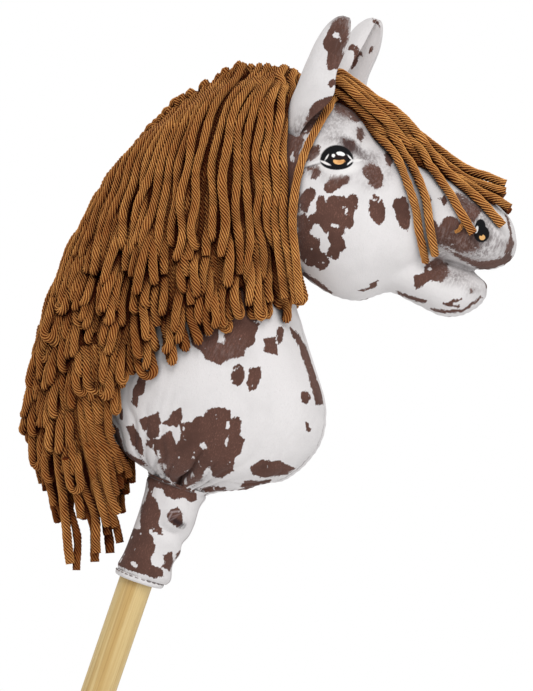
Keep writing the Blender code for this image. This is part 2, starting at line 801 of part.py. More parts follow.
tape_room = offset_copy(tape, "tape_room", GAP, cutters)
mane_form = stuffed_form("mane_form", MANE_SHAPE, NECK_RINGS, NECK_SIDES, on_neck, NECK_WIDTH)
neck_mane = offset_copy(neck_form, "neck_mane", MANE_DEPTH, cutters)
head_mane = offset_copy(head_form, "head_mane", MANE_DEPTH, cutters)
carrier_trees = [outer_surface(form) for form in (neck_form, head_form)]
mane_trees = [outer_surface(form) for form in (mane_form, neck_mane, head_mane)]
make_mane()

make_forelock_bundle()
face_trees = [outer_surface(item) for item in (neck_form, head_form, jaw_form,
                                               bpy.data.objects["forelock_bundle"])]
make_strands()
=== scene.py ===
import math

import bmesh
import bpy
import numpy as np
from bpy.props import FloatProperty, FloatVectorProperty, IntProperty, PointerProperty
from bpy.types import Operator, Panel, PropertyGroup
from mathutils import Matrix, Vector, noise
from mathutils.bvhtree import BVHTree
from mathutils.kdtree import KDTree


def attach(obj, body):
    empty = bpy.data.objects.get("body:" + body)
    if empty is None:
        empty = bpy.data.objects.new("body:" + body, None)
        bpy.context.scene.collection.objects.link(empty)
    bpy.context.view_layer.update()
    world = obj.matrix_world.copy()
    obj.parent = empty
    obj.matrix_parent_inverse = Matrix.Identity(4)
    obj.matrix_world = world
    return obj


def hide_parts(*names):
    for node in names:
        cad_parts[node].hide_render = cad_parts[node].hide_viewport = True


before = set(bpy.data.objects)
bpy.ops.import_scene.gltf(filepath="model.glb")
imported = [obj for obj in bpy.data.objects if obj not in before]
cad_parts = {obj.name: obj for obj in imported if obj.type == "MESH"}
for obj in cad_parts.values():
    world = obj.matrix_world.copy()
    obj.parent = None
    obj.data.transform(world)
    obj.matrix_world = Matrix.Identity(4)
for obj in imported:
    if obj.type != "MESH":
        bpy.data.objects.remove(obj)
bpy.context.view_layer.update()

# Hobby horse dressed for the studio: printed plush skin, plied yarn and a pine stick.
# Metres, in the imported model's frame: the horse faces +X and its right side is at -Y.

bl_info = {
    "name": "Hobby Horse",
    "version": (1, 0, 0),
    "blender": (4, 5, 0),
    "location": "View3D > Sidebar > Hobby Horse",
    "description": "Dresses a stick horse with printed plush, yarn and pine",
    "category": "Object",
}

BODY = "root"
RIGHT = -1
LEFT = 1
BOTH_SIDES = (("right", RIGHT), ("left", LEFT))

# The photograph: where its camera stood and how it was turned, its scale, the pixel where the stick's axis
# meets the hem's level, and its size
AZIMUTH = math.radians(13)
ELEVATION = math.radians(3)
ROLL = math.radians(18.9)
CAMERA_DISTANCE = 4.5
PIXEL = 0.000735
STICK_PIXEL = (136.4, 580.2)
PHOTO_SIZE = (533, 691)

# Levels and sizes of the solids
HEM_LEVEL = 0.540
SLEEVE_LENGTH = 0.0790
WAIST_LEVEL = HEM_LEVEL + SLEEVE_LENGTH
HEAD_LEVEL = WAIST_LEVEL + 0.2326
SLEEVE_BORE = 0.0144
NECK = (0.196, 0.306, 0.108)
HEAD = (0.1875, 0.132, 0.088)
JAW_WIDTH = 0.047
EAR_HEIGHT = 0.0995
EAR_DEPTH = 0.0305
EAR_WIDTH = 0.029
EAR_SEAT = 0.0310
EAR_SPACING = 0.054
EAR_SPLAY = 0.015
EAR_PLACE = 0.0075
EAR_LEAN = 0.0035
EAR_CURL = math.radians(108)
TACK_HEIGHT = 0.0524
TACK_TURN = math.radians(-45)
THREAD_LEVEL = WAIST_LEVEL - 0.0030

# The left side is cut from another stretch of the printed cloth: a scale and a shift of the picture (pixels)
LEFT_CUT_SCALE = (0.94, 1.05)
LEFT_CUT_SHIFT = (33, -31)
# Sprayed shading is gone at 1.25 half sizes from its centre
SPRAY_FADE = (-1.25, 0.1)
# The farthest distance from a patch's edge that is stored (mm)
COAT_REACH = 12

# Plied yarn: steps of the mesh in one turn of the plies, and the grooves' depth as a share of the radius
STEPS_IN_A_TURN = 16
GROOVE_DEPTH = 0.24

# Sleeve: height share, then how far the cloth stands off the stick (back, front, side)
SLEEVE_SHAPE = (
    (0.052, 0.0010, 0.0066, 0.0026),
    (0.110, 0.0022, 0.0090, 0.0034),
    (0.240, 0.0008, 0.0084, 0.0028),
    (0.420, 0.0002, 0.0096, 0.0026),
    (0.680, 0.0002, 0.0127, 0.0034),
    (0.900, 0.0018, 0.0139, 0.0044),
    (0.990, 0.0028, 0.0142, 0.0048),
)

# Neck, head and jaw: one edge, the other edge and the half width, in shares of their sizes. The neck's lowest
# row turns in under it, on to the sleeve.
NECK_SHAPE = (
    (-0.080, -0.013, 0.138, -0.013, 0.168),
    (-0.096, 0.000, 0.164, 0.000, 0.185),
    (-0.216, 0.025, 0.228, 0.021, 0.287),
    (-0.290, 0.063, 0.339, 0.057, 0.370),
    (-0.359, 0.122, 0.429, 0.101, 0.435),
    (-0.440, 0.231, 0.495, 0.198, 0.491),
    (-0.484, 0.312, 0.463, 0.293, 0.500),
    (-0.503, 0.410, 0.353, 0.388, 0.495),
    (-0.493, 0.550, 0.216, 0.512, 0.472),
    (-0.447, 0.672, 0.158, 0.597, 0.435),
    (-0.379, 0.803, 0.147, 0.721, 0.398),
    (-0.300, 0.897, 0.126, 0.852, 0.333),
    (-0.200, 0.959, 0.053, 0.937, 0.241),
    (-0.126, 0.986, -0.037, 0.979, 0.102),
)

HEAD_SHAPE = (
    (-0.077, 0.303, -0.077, -0.167, 0.318),
    (0.000, 0.409, 0.027, -0.280, 0.420),
    (0.099, 0.492, 0.165, -0.405, 0.483),
    (0.242, 0.462, 0.258, -0.458, 0.500),
    (0.363, 0.383, 0.374, -0.496, 0.494),
    (0.462, 0.348, 0.473, -0.481, 0.472),
    (0.555, 0.341, 0.544, -0.413, 0.438),
    (0.637, 0.333, 0.615, -0.326, 0.403),
    (0.720, 0.323, 0.692, -0.197, 0.386),
    (0.808, 0.295, 0.769, -0.110, 0.381),
    (0.885, 0.261, 0.857, -0.102, 0.364),
    (0.945, 0.216, 0.923, -0.083, 0.318),
    (0.984, 0.136, 0.970, -0.038, 0.227),
    (0.997, 0.076, 0.995, 0.015, 0.102),
)

JAW_SHAPE = (
    (0.505, -0.121, 0.516, -0.364, 0.340),
    (0.582, -0.106, 0.588, -0.375, 0.426),
    (0.665, -0.106, 0.659, -0.383, 0.479),
    (0.753, -0.116, 0.747, -0.399, 0.500),
    (0.830, -0.119, 0.819, -0.404, 0.489),
    (0.893, -0.129, 0.882, -0.367, 0.415),
    (0.931, -0.159, 0.926, -0.303, 0.277),
    (0.945, -0.197, 0.944, -0.250, 0.106),
)

# Ear: height share, back fold, depth and half opening
EAR_SHAPE = (
    (0.000, 0.03, 0.30, 0.17),
    (0.090, -0.14, 0.44, 0.28),
    (0.270, -0.25, 0.70, 0.41),
    (0.450, -0.22, 0.98, 0.50),
    (0.590, -0.20, 1.00, 0.48),
    (0.750, -0.14, 0.90, 0.40),
    (0.880, -0.03, 0.69, 0.28),
    (0.960, 0.13, 0.43, 0.16),
    (0.990, 0.28, 0.20, 0.08),
)

# Lines that the mane falls along: root, middle and tip, in the neck's shares
RIGHT_PARTINGS = (
    ((-0.074, 1.022), (0.060, 0.757), (0.258, 0.495)),
    ((-0.174, 1.015), (-0.010, 0.692), (0.205, 0.401)),
    ((-0.272, 0.998), (-0.140, 0.642), (0.085, 0.358)),
    ((-0.365, 0.940), (-0.260, 0.574), (-0.045, 0.276)),
    ((-0.455, 0.880), (-0.375, 0.508), (-0.175, 0.139)),
    ((-0.540, 0.790), (-0.465, 0.410), (-0.120, -0.063)),
    ((-0.600, 0.710), (-0.530, 0.329), (-0.140, -0.210)),
    ((-0.632, 0.615), (-0.590, 0.263), (-0.300, -0.246)),
    ((-0.655, 0.518), (-0.635, 0.231), (-0.460, -0.112)),
    ((-0.674, 0.394), (-0.671, 0.231), (-0.616, -0.011)),
)

LEFT_PARTINGS = (
    ((-0.074, 1.022), (0.040, 0.757), (0.200, 0.520)),
    ((-0.272, 0.998), (-0.160, 0.642), (0.030, 0.400)),
    ((-0.455, 0.880), (-0.360, 0.508), (-0.150, 0.220)),
    ((-0.540, 0.790), (-0.470, 0.410), (-0.150, 0.020)),
    ((-0.600, 0.710), (-0.540, 0.329), (-0.150, -0.190)),
    ((-0.655, 0.518), (-0.620, 0.231), (-0.390, -0.180)),
    ((-0.674, 0.394), (-0.671, 0.231), (-0.600, -0.011)),
)

# Patches of the coat on neck and head, as outlines in the photograph's pixels: print, and under the mane
# partly painted shade
COAT_PATCHES = (
    ((188.8, 333.7), (192.7, 345.5), (200.6, 350.8), (204.5, 358.6), (218.9, 365.2), (230.7, 358.6),
     (243.8, 356.5), (246.4, 348.7), (255.1, 344.2), (256.1, 332.4), (260.9, 321.9), (250.4, 311.5),
     (203.2, 311.5), (190.1, 321.9)),
    ((237.5, 363.4), (243, 366.5), (244.6, 377), (240.4, 385.6), (234.7, 385.6), (230.2, 380.9),
     (231.5, 370.4)),
    ((249.1, 367.8), (260.9, 366.5), (261.4, 377.5), (255.6, 389.6), (249.1, 391.9), (246.2, 382.2)),
    ((264, 339), (275.3, 336.4), (277.9, 354.7), (272.7, 354.7), (264.3, 351.3)),
    ((276.6, 326.7), (283.1, 326.7), (283.9, 336.4), (279.7, 345), (276.6, 341.6)),
    ((289.2, 327.2), (297.6, 332.4), (308, 349.5), (313.8, 365.2), (319.8, 382.2), (324.8, 392.7),
     (323, 404.5), (315.9, 405.3), (312.8, 392.7), (308.6, 377), (302.3, 358.6), (298.1, 345.5),
     (291.8, 335)),
    ((301.5, 391.4), (308.6, 391.4), (310.7, 398), (306.7, 404.5), (301.5, 401.9), (300.2, 396.6)),
    ((304.9, 421.5), (308.6, 422.9), (311.2, 431.2), (307.5, 431.8)),
    ((142.9, 369.1), (146.1, 377), (144.2, 392.7), (139, 395.3), (137.7, 407.7), (131.4, 403.2),
     (132.4, 390.1)),
    ((118.3, 405.8), (123.5, 408.4), (122.5, 420.2), (119.3, 419.4)),
    ((139, 418.9), (148.7, 416.3), (159.2, 411.8), (160.2, 426.8), (158.6, 436.5), (150.8, 439.4),
     (142.9, 430.7)),
    ((161.3, 422.9), (169.1, 418.9), (172.3, 411.1), (181.7, 407.4), (183, 416.3), (177.5, 427.3),
     (167.8, 425.5)),
    ((166.5, 432), (170.4, 429.4), (173.8, 437.3), (176.5, 443.8), (179.6, 442), (180.4, 422.9),
     (192.7, 421.5), (196.6, 415.8), (203.2, 416.8), (208.4, 408.4), (224.2, 407.1), (231.5, 411.1),
     (230.7, 418.9), (237.3, 415.8), (241.2, 421.5), (240.4, 434.7), (244.6, 439.9), (242, 453),
     (234.7, 458.2), (233.3, 471.3), (221.5, 478.4), (212.4, 476.6), (211.1, 466.1), (205.3, 468.7),
     (201.9, 479.2), (195.3, 483.9), (184.8, 487.6), (171.7, 481.8), (163.9, 472.7), (158.1, 463.5),
     (154.7, 451.7), (146.1, 445.1), (146.8, 440.4), (158.6, 438.6)),
    ((125.9, 426.8), (132.4, 424.2), (140.8, 437.3), (143.4, 447.8), (143.7, 457.7), (139, 453.5),
     (132.4, 445.1)),
    ((111.5, 421.5), (119.3, 429.4), (123.3, 447.8), (129.8, 454.3), (144.2, 460.9), (149.5, 468.7),
     (136.4, 463.5), (123.3, 454.3), (115.4, 439.9)),
    ((249.9, 467.4), (260.9, 459.6), (270, 460.9), (279.2, 460.3), (285.8, 463.5), (295.5, 468.2),
     (287.1, 474.5), (276.6, 476.1), (267.4, 477.9), (258.2, 477.1), (251.7, 473.4)),
    ((240.4, 487.1), (245.1, 480.5), (263.5, 480.5), (271.9, 479.2), (269.3, 483.4), (258.2, 485),
     (247.8, 488.9)),
    ((199.3, 489.2), (211.1, 485.8), (224.7, 487.1), (226.3, 490.2), (211.1, 492.8), (200.6, 491.8)),
    ((268, 118), (284, 124), (302, 127), (304, 141), (299, 158), (304, 171), (298, 186), (301, 204),
     (297, 222), (300, 240), (296, 258), (286, 280), (262, 276), (256, 200), (258, 140)),
    # Under the mane: print, and painted shade where the plush shows between the yarns
    ((184, 92), (240, 76), (288, 80), (293, 130), (291, 210), (294, 262), (266, 298), (262, 316), (232, 320),
     (196, 316), (160, 318), (128, 332), (118, 300), (132, 220), (152, 150)),
    ((340, 72), (358, 73), (374, 87), (384, 101), (374, 106), (354, 97), (342, 89)),
    ((333.2, 108.4), (336.3, 101.1), (343.7, 100.6), (354.2, 108.4), (363.7, 120), (356.3, 122.5),
     (346.8, 117.9), (339.5, 114.7)),
    ((310, 106.9), (325.8, 106.9), (328.5, 105.3), (322.6, 117.9), (315.3, 126.3), (306.2, 135.2),
     (301.2, 135.8), (304.1, 124.2)),
    ((281.6, 141.1), (297.4, 136.8), (301.6, 147.4), (299.9, 162.1), (286.8, 166.7), (281.6, 161.1)),
    ((308.9, 145.3), (319.9, 144.8), (319.9, 153.7), (315.3, 158.3), (304.1, 162.5), (305.4, 152.6)),
    ((342.6, 137.9), (354.2, 140.6), (356.7, 147.4), (351.1, 152), (343.7, 147.4)),
    ((356.9, 126.3), (363.1, 128.4), (364.3, 136.8), (360.5, 143.2), (356.7, 136.8)),
    ((384.3, 152.6), (390.4, 151.2), (393.6, 160), (391.1, 167.8), (386.4, 164.2)),
    ((362.6, 168.4), (368.9, 162.1), (379.5, 166.3), (383.9, 174.7), (382.8, 185.3), (376.3, 190.7),
     (370, 185.3), (366.4, 178.5), (362.2, 174.7)),
    ((331.1, 174.7), (339.5, 173.7), (350, 176.4), (349.6, 183.2), (343.7, 185.7), (337.4, 189.5),
     (331.1, 194.1), (324.3, 191.6), (323.3, 185.3), (328.3, 181.1)),
    ((305.8, 167.4), (319.5, 165.3), (320.9, 172.6), (315.3, 180.4), (311.3, 178.9), (310.8, 171.6)),
    ((301.6, 193.7), (310, 186.9), (315.7, 189.5), (315.3, 197.9), (310, 204.2), (306.8, 213.1),
     (301.2, 210.5), (299.1, 202.1)),
    ((297.4, 214.7), (304.7, 212.6), (307.9, 217.9), (310.4, 214.3), (315.3, 212.2), (316.3, 202.1),
     (319.5, 193.7), (323.1, 195.8), (326, 203.2), (328.9, 195.8), (343.7, 195.8), (346.8, 198.9),
     (349.6, 194.7), (354.2, 193.3), (358.4, 197.9), (357.4, 208.4), (354.2, 212.6), (353.6, 223.2),
     (351.1, 228.8), (345.8, 227.8), (344.7, 234.1), (340.5, 235.8), (344.7, 242.1), (346.2, 248),
     (340.5, 252.6), (337.4, 260.4), (331.1, 258.3), (326.4, 254.7), (328.3, 248.4), (331.1, 244.2),
     (326.8, 237.9), (330, 231.6), (325.8, 234.1), (320.9, 228.4), (319.1, 223.2), (313.2, 224.8),
     (310.4, 233.7), (315.3, 238.3), (320.5, 237.9), (319.1, 248.4), (324.3, 253.7), (330, 261.1),
     (326.8, 267.8), (320.5, 270.9), (315.3, 266.3), (307.9, 266.3), (300.5, 258.9), (297.4, 242.1)),
    ((368.9, 200), (375.3, 193.7), (381.6, 198.5), (384.9, 208.4), (384.9, 221.5), (377.4, 225.7),
     (373.2, 221.1), (368.3, 210.5)),
    ((393.8, 198.9), (405.2, 196.4), (409.4, 206.3), (410.6, 221.1), (407.3, 230.9), (400.1, 227.4),
     (395.9, 214.7), (392.7, 206.3)),
    ((425.4, 190.1), (429.4, 193.7), (431.5, 200), (427.9, 204.6)),
    ((438.4, 197.3), (444.7, 195.8), (448.9, 202.1), (444.7, 206.7)),
    ((431.1, 216.8), (438.4, 225.7), (444.7, 216.8), (455.7, 216.4), (462, 225.3), (472.1, 231.6),
     (478.8, 237.9), (480.5, 248.4), (472.1, 253.1), (459.5, 253.1), (446.8, 246.7), (437.4, 244.6),
     (433.8, 231.6)),
    ((455.3, 190.5), (465.8, 196.8), (478.8, 205.3), (483.1, 210.5), (473.2, 223.6), (465.8, 217.9),
     (456.9, 207.4)),
    ((437.4, 245.3), (448.9, 252), (459.5, 259.4), (472.1, 265.7), (482.6, 271.6), (493.6, 271.6),
     (506.8, 264.2), (512.1, 252.6), (507.9, 253.7), (493.6, 260), (476.3, 260.4), (463.7, 255.2),
     (451.1, 250.5), (440.5, 244.2)),
    ((501.6, 206.3), (508.9, 217.9), (512.1, 233.7), (514.2, 244.2), (510, 260), (504.1, 255.8),
     (506.2, 244.2), (510, 235.8), (506.8, 221.1)),
    ((413.6, 275.8), (423.7, 273.7), (425.2, 264.8), (438.4, 255.8), (447.3, 264.2), (449.6, 273.7),
     (442.6, 282.5), (430, 280.4), (422, 286.3), (415.3, 289.9)),
    ((470, 289.5), (473.2, 288), (473.8, 291.6), (470.4, 293.7)),
    ((442.6, 303.2), (453.2, 300), (462.6, 297.3), (462, 300), (451.1, 304.2), (460.5, 305.3), (459.5, 307.4),
     (446.8, 306.3)),
    ((356.7, 290.1), (367.9, 288.4), (371.1, 283.2), (377.8, 280), (375.9, 288), (362.6, 291.4)),
    ((395.3, 290.5), (408.9, 295.2), (426.8, 300), (424.7, 303.2), (415.3, 301.5), (398.4, 294.7)),
    ((430, 307.8), (444.7, 309.9), (462.6, 309.1), (480.5, 295.8), (482.6, 297.3), (463.7, 312),
     (444.7, 313.3), (432.1, 310.5)),
    ((303.7, 271.6), (318.4, 281.1), (333.2, 292.6), (331.1, 294.7), (315.3, 284.2), (301.6, 274.7)),
)

SLEEVE_PATCHES = (
    ((145.5, 470), (158.6, 471.3), (169.1, 479.2), (184.8, 484.5), (195.3, 489.2), (197.2, 500.2),
     (191.4, 502.8), (184.8, 497.6), (174.4, 499.1), (166.5, 496.3), (161.3, 488.4), (153.4, 487.6),
     (151.3, 494.9), (157.9, 502.8), (160.5, 510.7), (159.2, 523.8), (163.9, 536.1), (158.6, 534.8),
     (150.8, 529), (141.6, 532.2), (139.8, 515.9), (141.9, 505.4), (146.1, 500.2), (148.7, 489.7)),
    ((132.4, 529), (145.5, 528.5), (153.9, 538.2), (155.2, 550), (150.8, 557.9), (152.1, 565.7),
     (161.8, 568.3), (163.9, 576.2), (153.4, 578.3), (142.9, 574.1), (132.4, 571.5), (118, 565.7),
     (116.7, 561.8), (123.3, 552.6), (125.1, 539.5)),
    ((162.6, 555.2), (172.3, 550.8), (173.6, 560.5), (170.4, 571.5), (161.3, 567), (165.2, 561.8)),
    ((175.7, 553.9), (181.7, 549.5), (179.1, 557.9), (175.7, 560.5)),
    ((166.5, 517.2), (169.1, 510.7), (177, 507), (182.8, 512), (182.2, 523.8), (179.6, 528.2),
     (171.7, 524.3)),
)

EAR_PATCHES = (
    ((331.1, 23.2), (339.5, 15.8), (348.3, 17.9), (349.6, 27.4), (347.9, 40), (343.7, 49.5), (343.7, 63.2),
     (339.5, 68.8), (327.9, 69.9), (326, 63.2), (328.9, 54.7), (321.6, 44.2), (326.8, 33.7)),
    ((327.3, 84.2), (333.2, 78.3), (338.4, 79.6), (336.9, 85.3), (328.9, 88.4)),
    ((312, 104), (320.5, 99), (335.3, 94.5), (337.5, 101), (327, 113), (318.4, 126.3), (304.5, 136.5),
     (303.5, 128), (305.8, 120)),
)

FAR_EAR_PATCHES = (
    ((350, 44), (357, 46), (364, 53.5), (362, 57), (358, 54), (357, 62), (353.5, 69), (350.5, 68),
     (353.5, 60), (354.5, 52), (347, 49)),
    ((370.5, 46.5), (374.5, 44), (373, 50), (369.5, 55), (368.5, 51.5)),
    ((372, 18.5), (379, 21), (380.5, 28), (377.5, 25), (372.5, 21.5)),
)

# White spots inside the patches, on the coat and on the near ear
BARE_SPOTS = (
    ((219.7, 320.6), (226.3, 321.9), (223.6, 343.4), (217.9, 342.9)),
    ((199.3, 442.5), (204.5, 442), (207.1, 447.8), (201.9, 450.4)),
    ((226.3, 421.5), (230.7, 421), (229.9, 428.1), (225.5, 429.4)),
    ((191.4, 472.7), (194.3, 471.3), (192.7, 477.1), (190.1, 477.1)),
    ((184.8, 477.9), (187.5, 476.6), (185.9, 483.9), (184.1, 483.9)),
    ((156, 450.4), (158.6, 449.9), (161.3, 458.2), (158.6, 458.8)),
    ((162.6, 463.5), (166.5, 464.8), (165.2, 470), (163.4, 469.3)),
    ((130.3, 561.8), (135.6, 561.8), (137.7, 566.2), (133.7, 567.8)),
    ((342.6, 207.4), (345.2, 204.6), (347.9, 210.5), (346.2, 214.7)),
    ((309.6, 230.5), (313.2, 226.9), (316.3, 230.5), (315.3, 236.2), (312.1, 235.4)),
    ((331.1, 223.6), (339.5, 224.8), (338.4, 227.8), (332.1, 227.4)),
)

EAR_CHIPS = (
    ((331.5, 33), (336, 30.5), (339.5, 35), (341, 40.5), (337, 38), (333, 37.5)),
)

# Sprayed shading: centre, half sizes and strength, in the photograph's pixels
SPRAY = (
    (344, 114, 20, 12, 1.00), (318, 116, 15, 9, 0.85), (327, 127, 24, 12, 0.62), (296, 128, 13, 12, 0.95),
    (350, 147, 15, 10, 0.90), (310, 151, 11, 15, 0.82), (315, 171, 15, 8, 0.75), (338, 178, 22, 10, 0.65),
    (368, 164, 15, 15, 0.75), (372, 184, 17, 11, 0.45), (298, 152, 7, 40, 0.70), (362, 132, 13, 11, 0.55),
    (392, 128, 9, 16, 0.55), (467, 204, 21, 22, 0.80), (480, 244, 30, 12, 0.95), (452, 236, 26, 16, 0.80),
    (500, 244, 14, 17, 0.75), (441, 256, 12, 13, 0.95), (456, 276, 24, 13, 0.85), (474, 290, 17, 9, 0.60),
    (476, 253, 27, 8, 0.75), (478, 206, 12, 12, 0.60), (160, 466, 26, 12, 0.35), (196, 480, 20, 8, 0.45),
    (299, 210, 7, 52, 0.50), (420, 205, 14, 22, 0.35), (225, 350, 30, 16, 0.40), (331, 140, 13, 9, 0.70),
    (373, 157, 11, 11, 0.60), (388, 172, 9, 16, 0.40), (478, 258, 26, 7, 0.75),
)

EAR_SPRAY = (
    (338, 22, 12, 8, 0.50), (345, 50, 7, 20, 0.45), (331, 82, 11, 15, 0.65), (320, 104, 13, 20, 0.75),
)

# Yarns over cheek and face, as points in the picture plane (mm from the stick's axis, mm above the hem)
FACE_YARNS = (
    ((24.5, 383.8), (19.9, 369.8), (16.4, 350.7), (15.8, 331.9), (18.1, 309.3), (23.6, 284.0), (34.1, 260.4),
     (47.8, 231.7)),
    ((26.7, 383.0), (44.8, 377.7), (63.0, 367.7), (78.6, 359.6), (92.5, 343.4), (104.4, 326.2),
     (112.8, 309.5), (125.3, 290.9)),
    ((26.6, 387.9), (51.1, 383.2), (67.5, 375.0), (84.7, 363.2), (98.8, 347.1), (110.2, 333.1),
     (120.5, 315.3), (130.9, 298.2)),
    ((22.7, 389.8), (44.7, 387.6), (64.9, 381.4), (82.9, 372.9), (100.1, 362.4), (114.0, 352.5),
     (128.3, 342.6), (137.9, 333.7), (151.5, 321.2)),
    ((24.6, 392.4), (45.6, 390.2), (67.6, 384.9), (90.3, 373.8), (108.7, 364.6), (124.1, 356.0),
     (136.9, 351.3), (149.0, 345.7), (159.3, 339.3), (169.6, 333.4)),
)
FRAYED_END = ((143.2, 330.6), (143.0, 326.6), (141.4, 321.5), (138.8, 318.0))

# Bundle down the nose: side place (mm), then points in the picture plane
NOSE_YARNS = (
    (-9.5, ((19.3, 394.5), (28.8, 393.5), (60.4, 381.6), (97.1, 364.0), (127.8, 353.0), (153.0, 350.3),
            (172.6, 347.2))),
    (-4.5, ((19.2, 396.8), (28.7, 395.8), (63.9, 383.3), (99.8, 368.3), (130.8, 358.8), (150.6, 359.0),
            (165.0, 358.4))),
    (1.0, ((19.2, 399.2), (28.7, 398.2), (66.7, 386.2), (102.4, 372.2), (131.7, 363.1), (148.7, 364.3),
           (162.4, 364.4))),
    (6.5, ((19.2, 397.8), (28.7, 396.8), (64.9, 382.5), (100.8, 367.7), (130.8, 357.8), (150.6, 356.0),
           (163.0, 354.2))),
    (11.5, ((19.3, 393.5), (28.8, 392.5), (60.4, 379.6), (97.1, 362.0), (127.8, 350.0), (151.0, 346.0),
            (168.6, 343.0))),
    (-7.0, ((18.5, 388.9), (28.0, 388.0), (60.0, 374.6), (97.0, 357.7), (126.0, 347.8), (150.0, 345.9),
            (160.6, 344.3))),
    (-1.8, ((18.5, 390.9), (28.0, 390.0), (60.0, 377.6), (97.0, 360.7), (126.0, 352.8), (150.0, 349.9),
            (158.6, 349.0))),
    (3.8, ((18.5, 389.9), (28.0, 389.0), (60.0, 376.6), (97.0, 359.7), (126.0, 351.8), (150.0, 348.9),
           (161.6, 347.4))),
    (9.0, ((18.5, 387.9), (28.0, 387.0), (60.0, 372.6), (97.0, 355.7), (126.0, 345.8), (146.0, 342.5),
           (157.6, 339.9))),
)

# The yarns beside the ear, in the photograph's pixels
FRONT_YARNS = (
    ((293, 72), (289.5, 92), (285.5, 112), (283, 135), (282, 165), (282, 200), (284.5, 232), (289, 262),
     (293.5, 286), (296.5, 304)),
    ((284, 68), (280, 92), (275, 118), (272.5, 145), (272.5, 180), (274, 214), (278, 246), (283, 274),
     (286.5, 298)),
)

# Ink shapes of the eye and the nostril, and the painted shade and highlights of the bump over the tack, each
# laid over
# the ones before: centre and half sizes in pixels (a third number is the half height below the centre), turn
# (degrees), softness, colour and strength
INKS_AND_PAINTED_LIGHT = (
    # Eye
    ((345.5, 170.5), (15.0, 4.2), -18, 0.7, (0.80, 0.78, 0.77), 0.9),
    ((328.0, 169.5), (10.0, 3.0), 24, 0.8, (0.74, 0.71, 0.70), 0.8),
    ((327.0, 149.5), (14.0, 2.6), -42, 0.9, (0.72, 0.69, 0.68), 0.7),
    ((311.0, 163.7), (10.0, 1.2), -16, 0.6, (0.76, 0.74, 0.74), 0.9),
    ((311.0, 166.2), (9.5, 1.0), -17, 0.7, (0.07, 0.05, 0.05), 0.7),
    ((349.5, 146.0), (13.0, 5.5), 38, 0.8, (0.060, 0.036, 0.034), 0.9),
    ((361.0, 154.0), (8.0, 3.6), 30, 0.8, (0.10, 0.07, 0.068), 0.6),
    ((336.8, 160.6), (16.8, 15.6, 9.3), 0, 0.05, (0.006, 0.006, 0.007), 1),
    ((356.5, 160.6), (5.4, 1.4), -6, 0.5, (0.80, 0.78, 0.77), 0.95),
    ((326.9, 157.1), (3.5, 0.75), -57, 0.4, (0.80, 0.78, 0.76), 0.95),
    ((325.4, 163.0), (5.6, 1.15), 24, 0.35, (0.82, 0.78, 0.77), 1),
    ((349.8, 157.4), (3.6, 0.75), 48, 0.4, (0.82, 0.80, 0.79), 1),
    ((350.3, 162.0), (4.0, 0.90), -42, 0.4, (0.82, 0.80, 0.79), 1),
    ((338.2, 157.4), (6.6, 3.4), 0, 0.6, (0.030, 0.012, 0.010), 0.9),
    ((338.8, 161.1), (5.6, 3.4), 0, 0.10, (0.82, 0.46, 0.18), 1),
    ((340.8, 161.6), (3.4, 1.5), 0, 0.60, (0.62, 0.27, 0.09), 0.7),
    ((338.6, 158.2), (6.6, 1.9), 0, 0.20, (0.012, 0.008, 0.008), 1),
    ((333.5, 155.6), (1.8, 1.8), 0, 0.15, (0.90, 0.90, 0.89), 1),
    ((340.7, 153.9), (4.3, 2.1), 13, 0.10, (0.90, 0.90, 0.89), 1),
    ((339.0, 156.6), (4.2, 1.3), 4, 0.30, (0.020, 0.010, 0.009), 1),
    # Nostril
    ((481.0, 232.5), (10.5, 14.0), 6, 0.6, (0.055, 0.036, 0.034), 0.8),
    ((481.6, 233.8), (7.7, 8.6), 0, 0.06, (0.006, 0.006, 0.007), 1),
    ((480.2, 226.5), (5.2, 7.4), 8, 0.08, (0.006, 0.006, 0.007), 1),
    ((476.7, 229.6), (1.5, 3.7), 14, 0.2, (0.80, 0.80, 0.79), 1),
    ((482.2, 237.4), (3.0, 2.7), 0, 0.12, (0.74, 0.42, 0.16), 1),
    ((481.2, 234.8), (1.5, 1.2), 0, 0.2, (0.010, 0.008, 0.007), 1),
    # Bump over the tack: painted shade below it and painted highlights along its top
    ((177.5, 522.5), (7.5, 3.2), 28, 0.7, (0.020, 0.010, 0.012), 0.85),
    ((174.5, 511.8), (6.0, 0.9), -6, 0.8, (0.50, 0.42, 0.42), 0.5),
    ((170.0, 516.5), (4.6, 0.8), -62, 0.8, (0.50, 0.42, 0.42), 0.45),
    ((177.0, 515.0), (5.0, 0.7), -20, 0.9, (0.40, 0.31, 0.31), 0.35),
    ((173.5, 518.5), (4.4, 0.7), -30, 0.9, (0.36, 0.28, 0.28), 0.3),
)


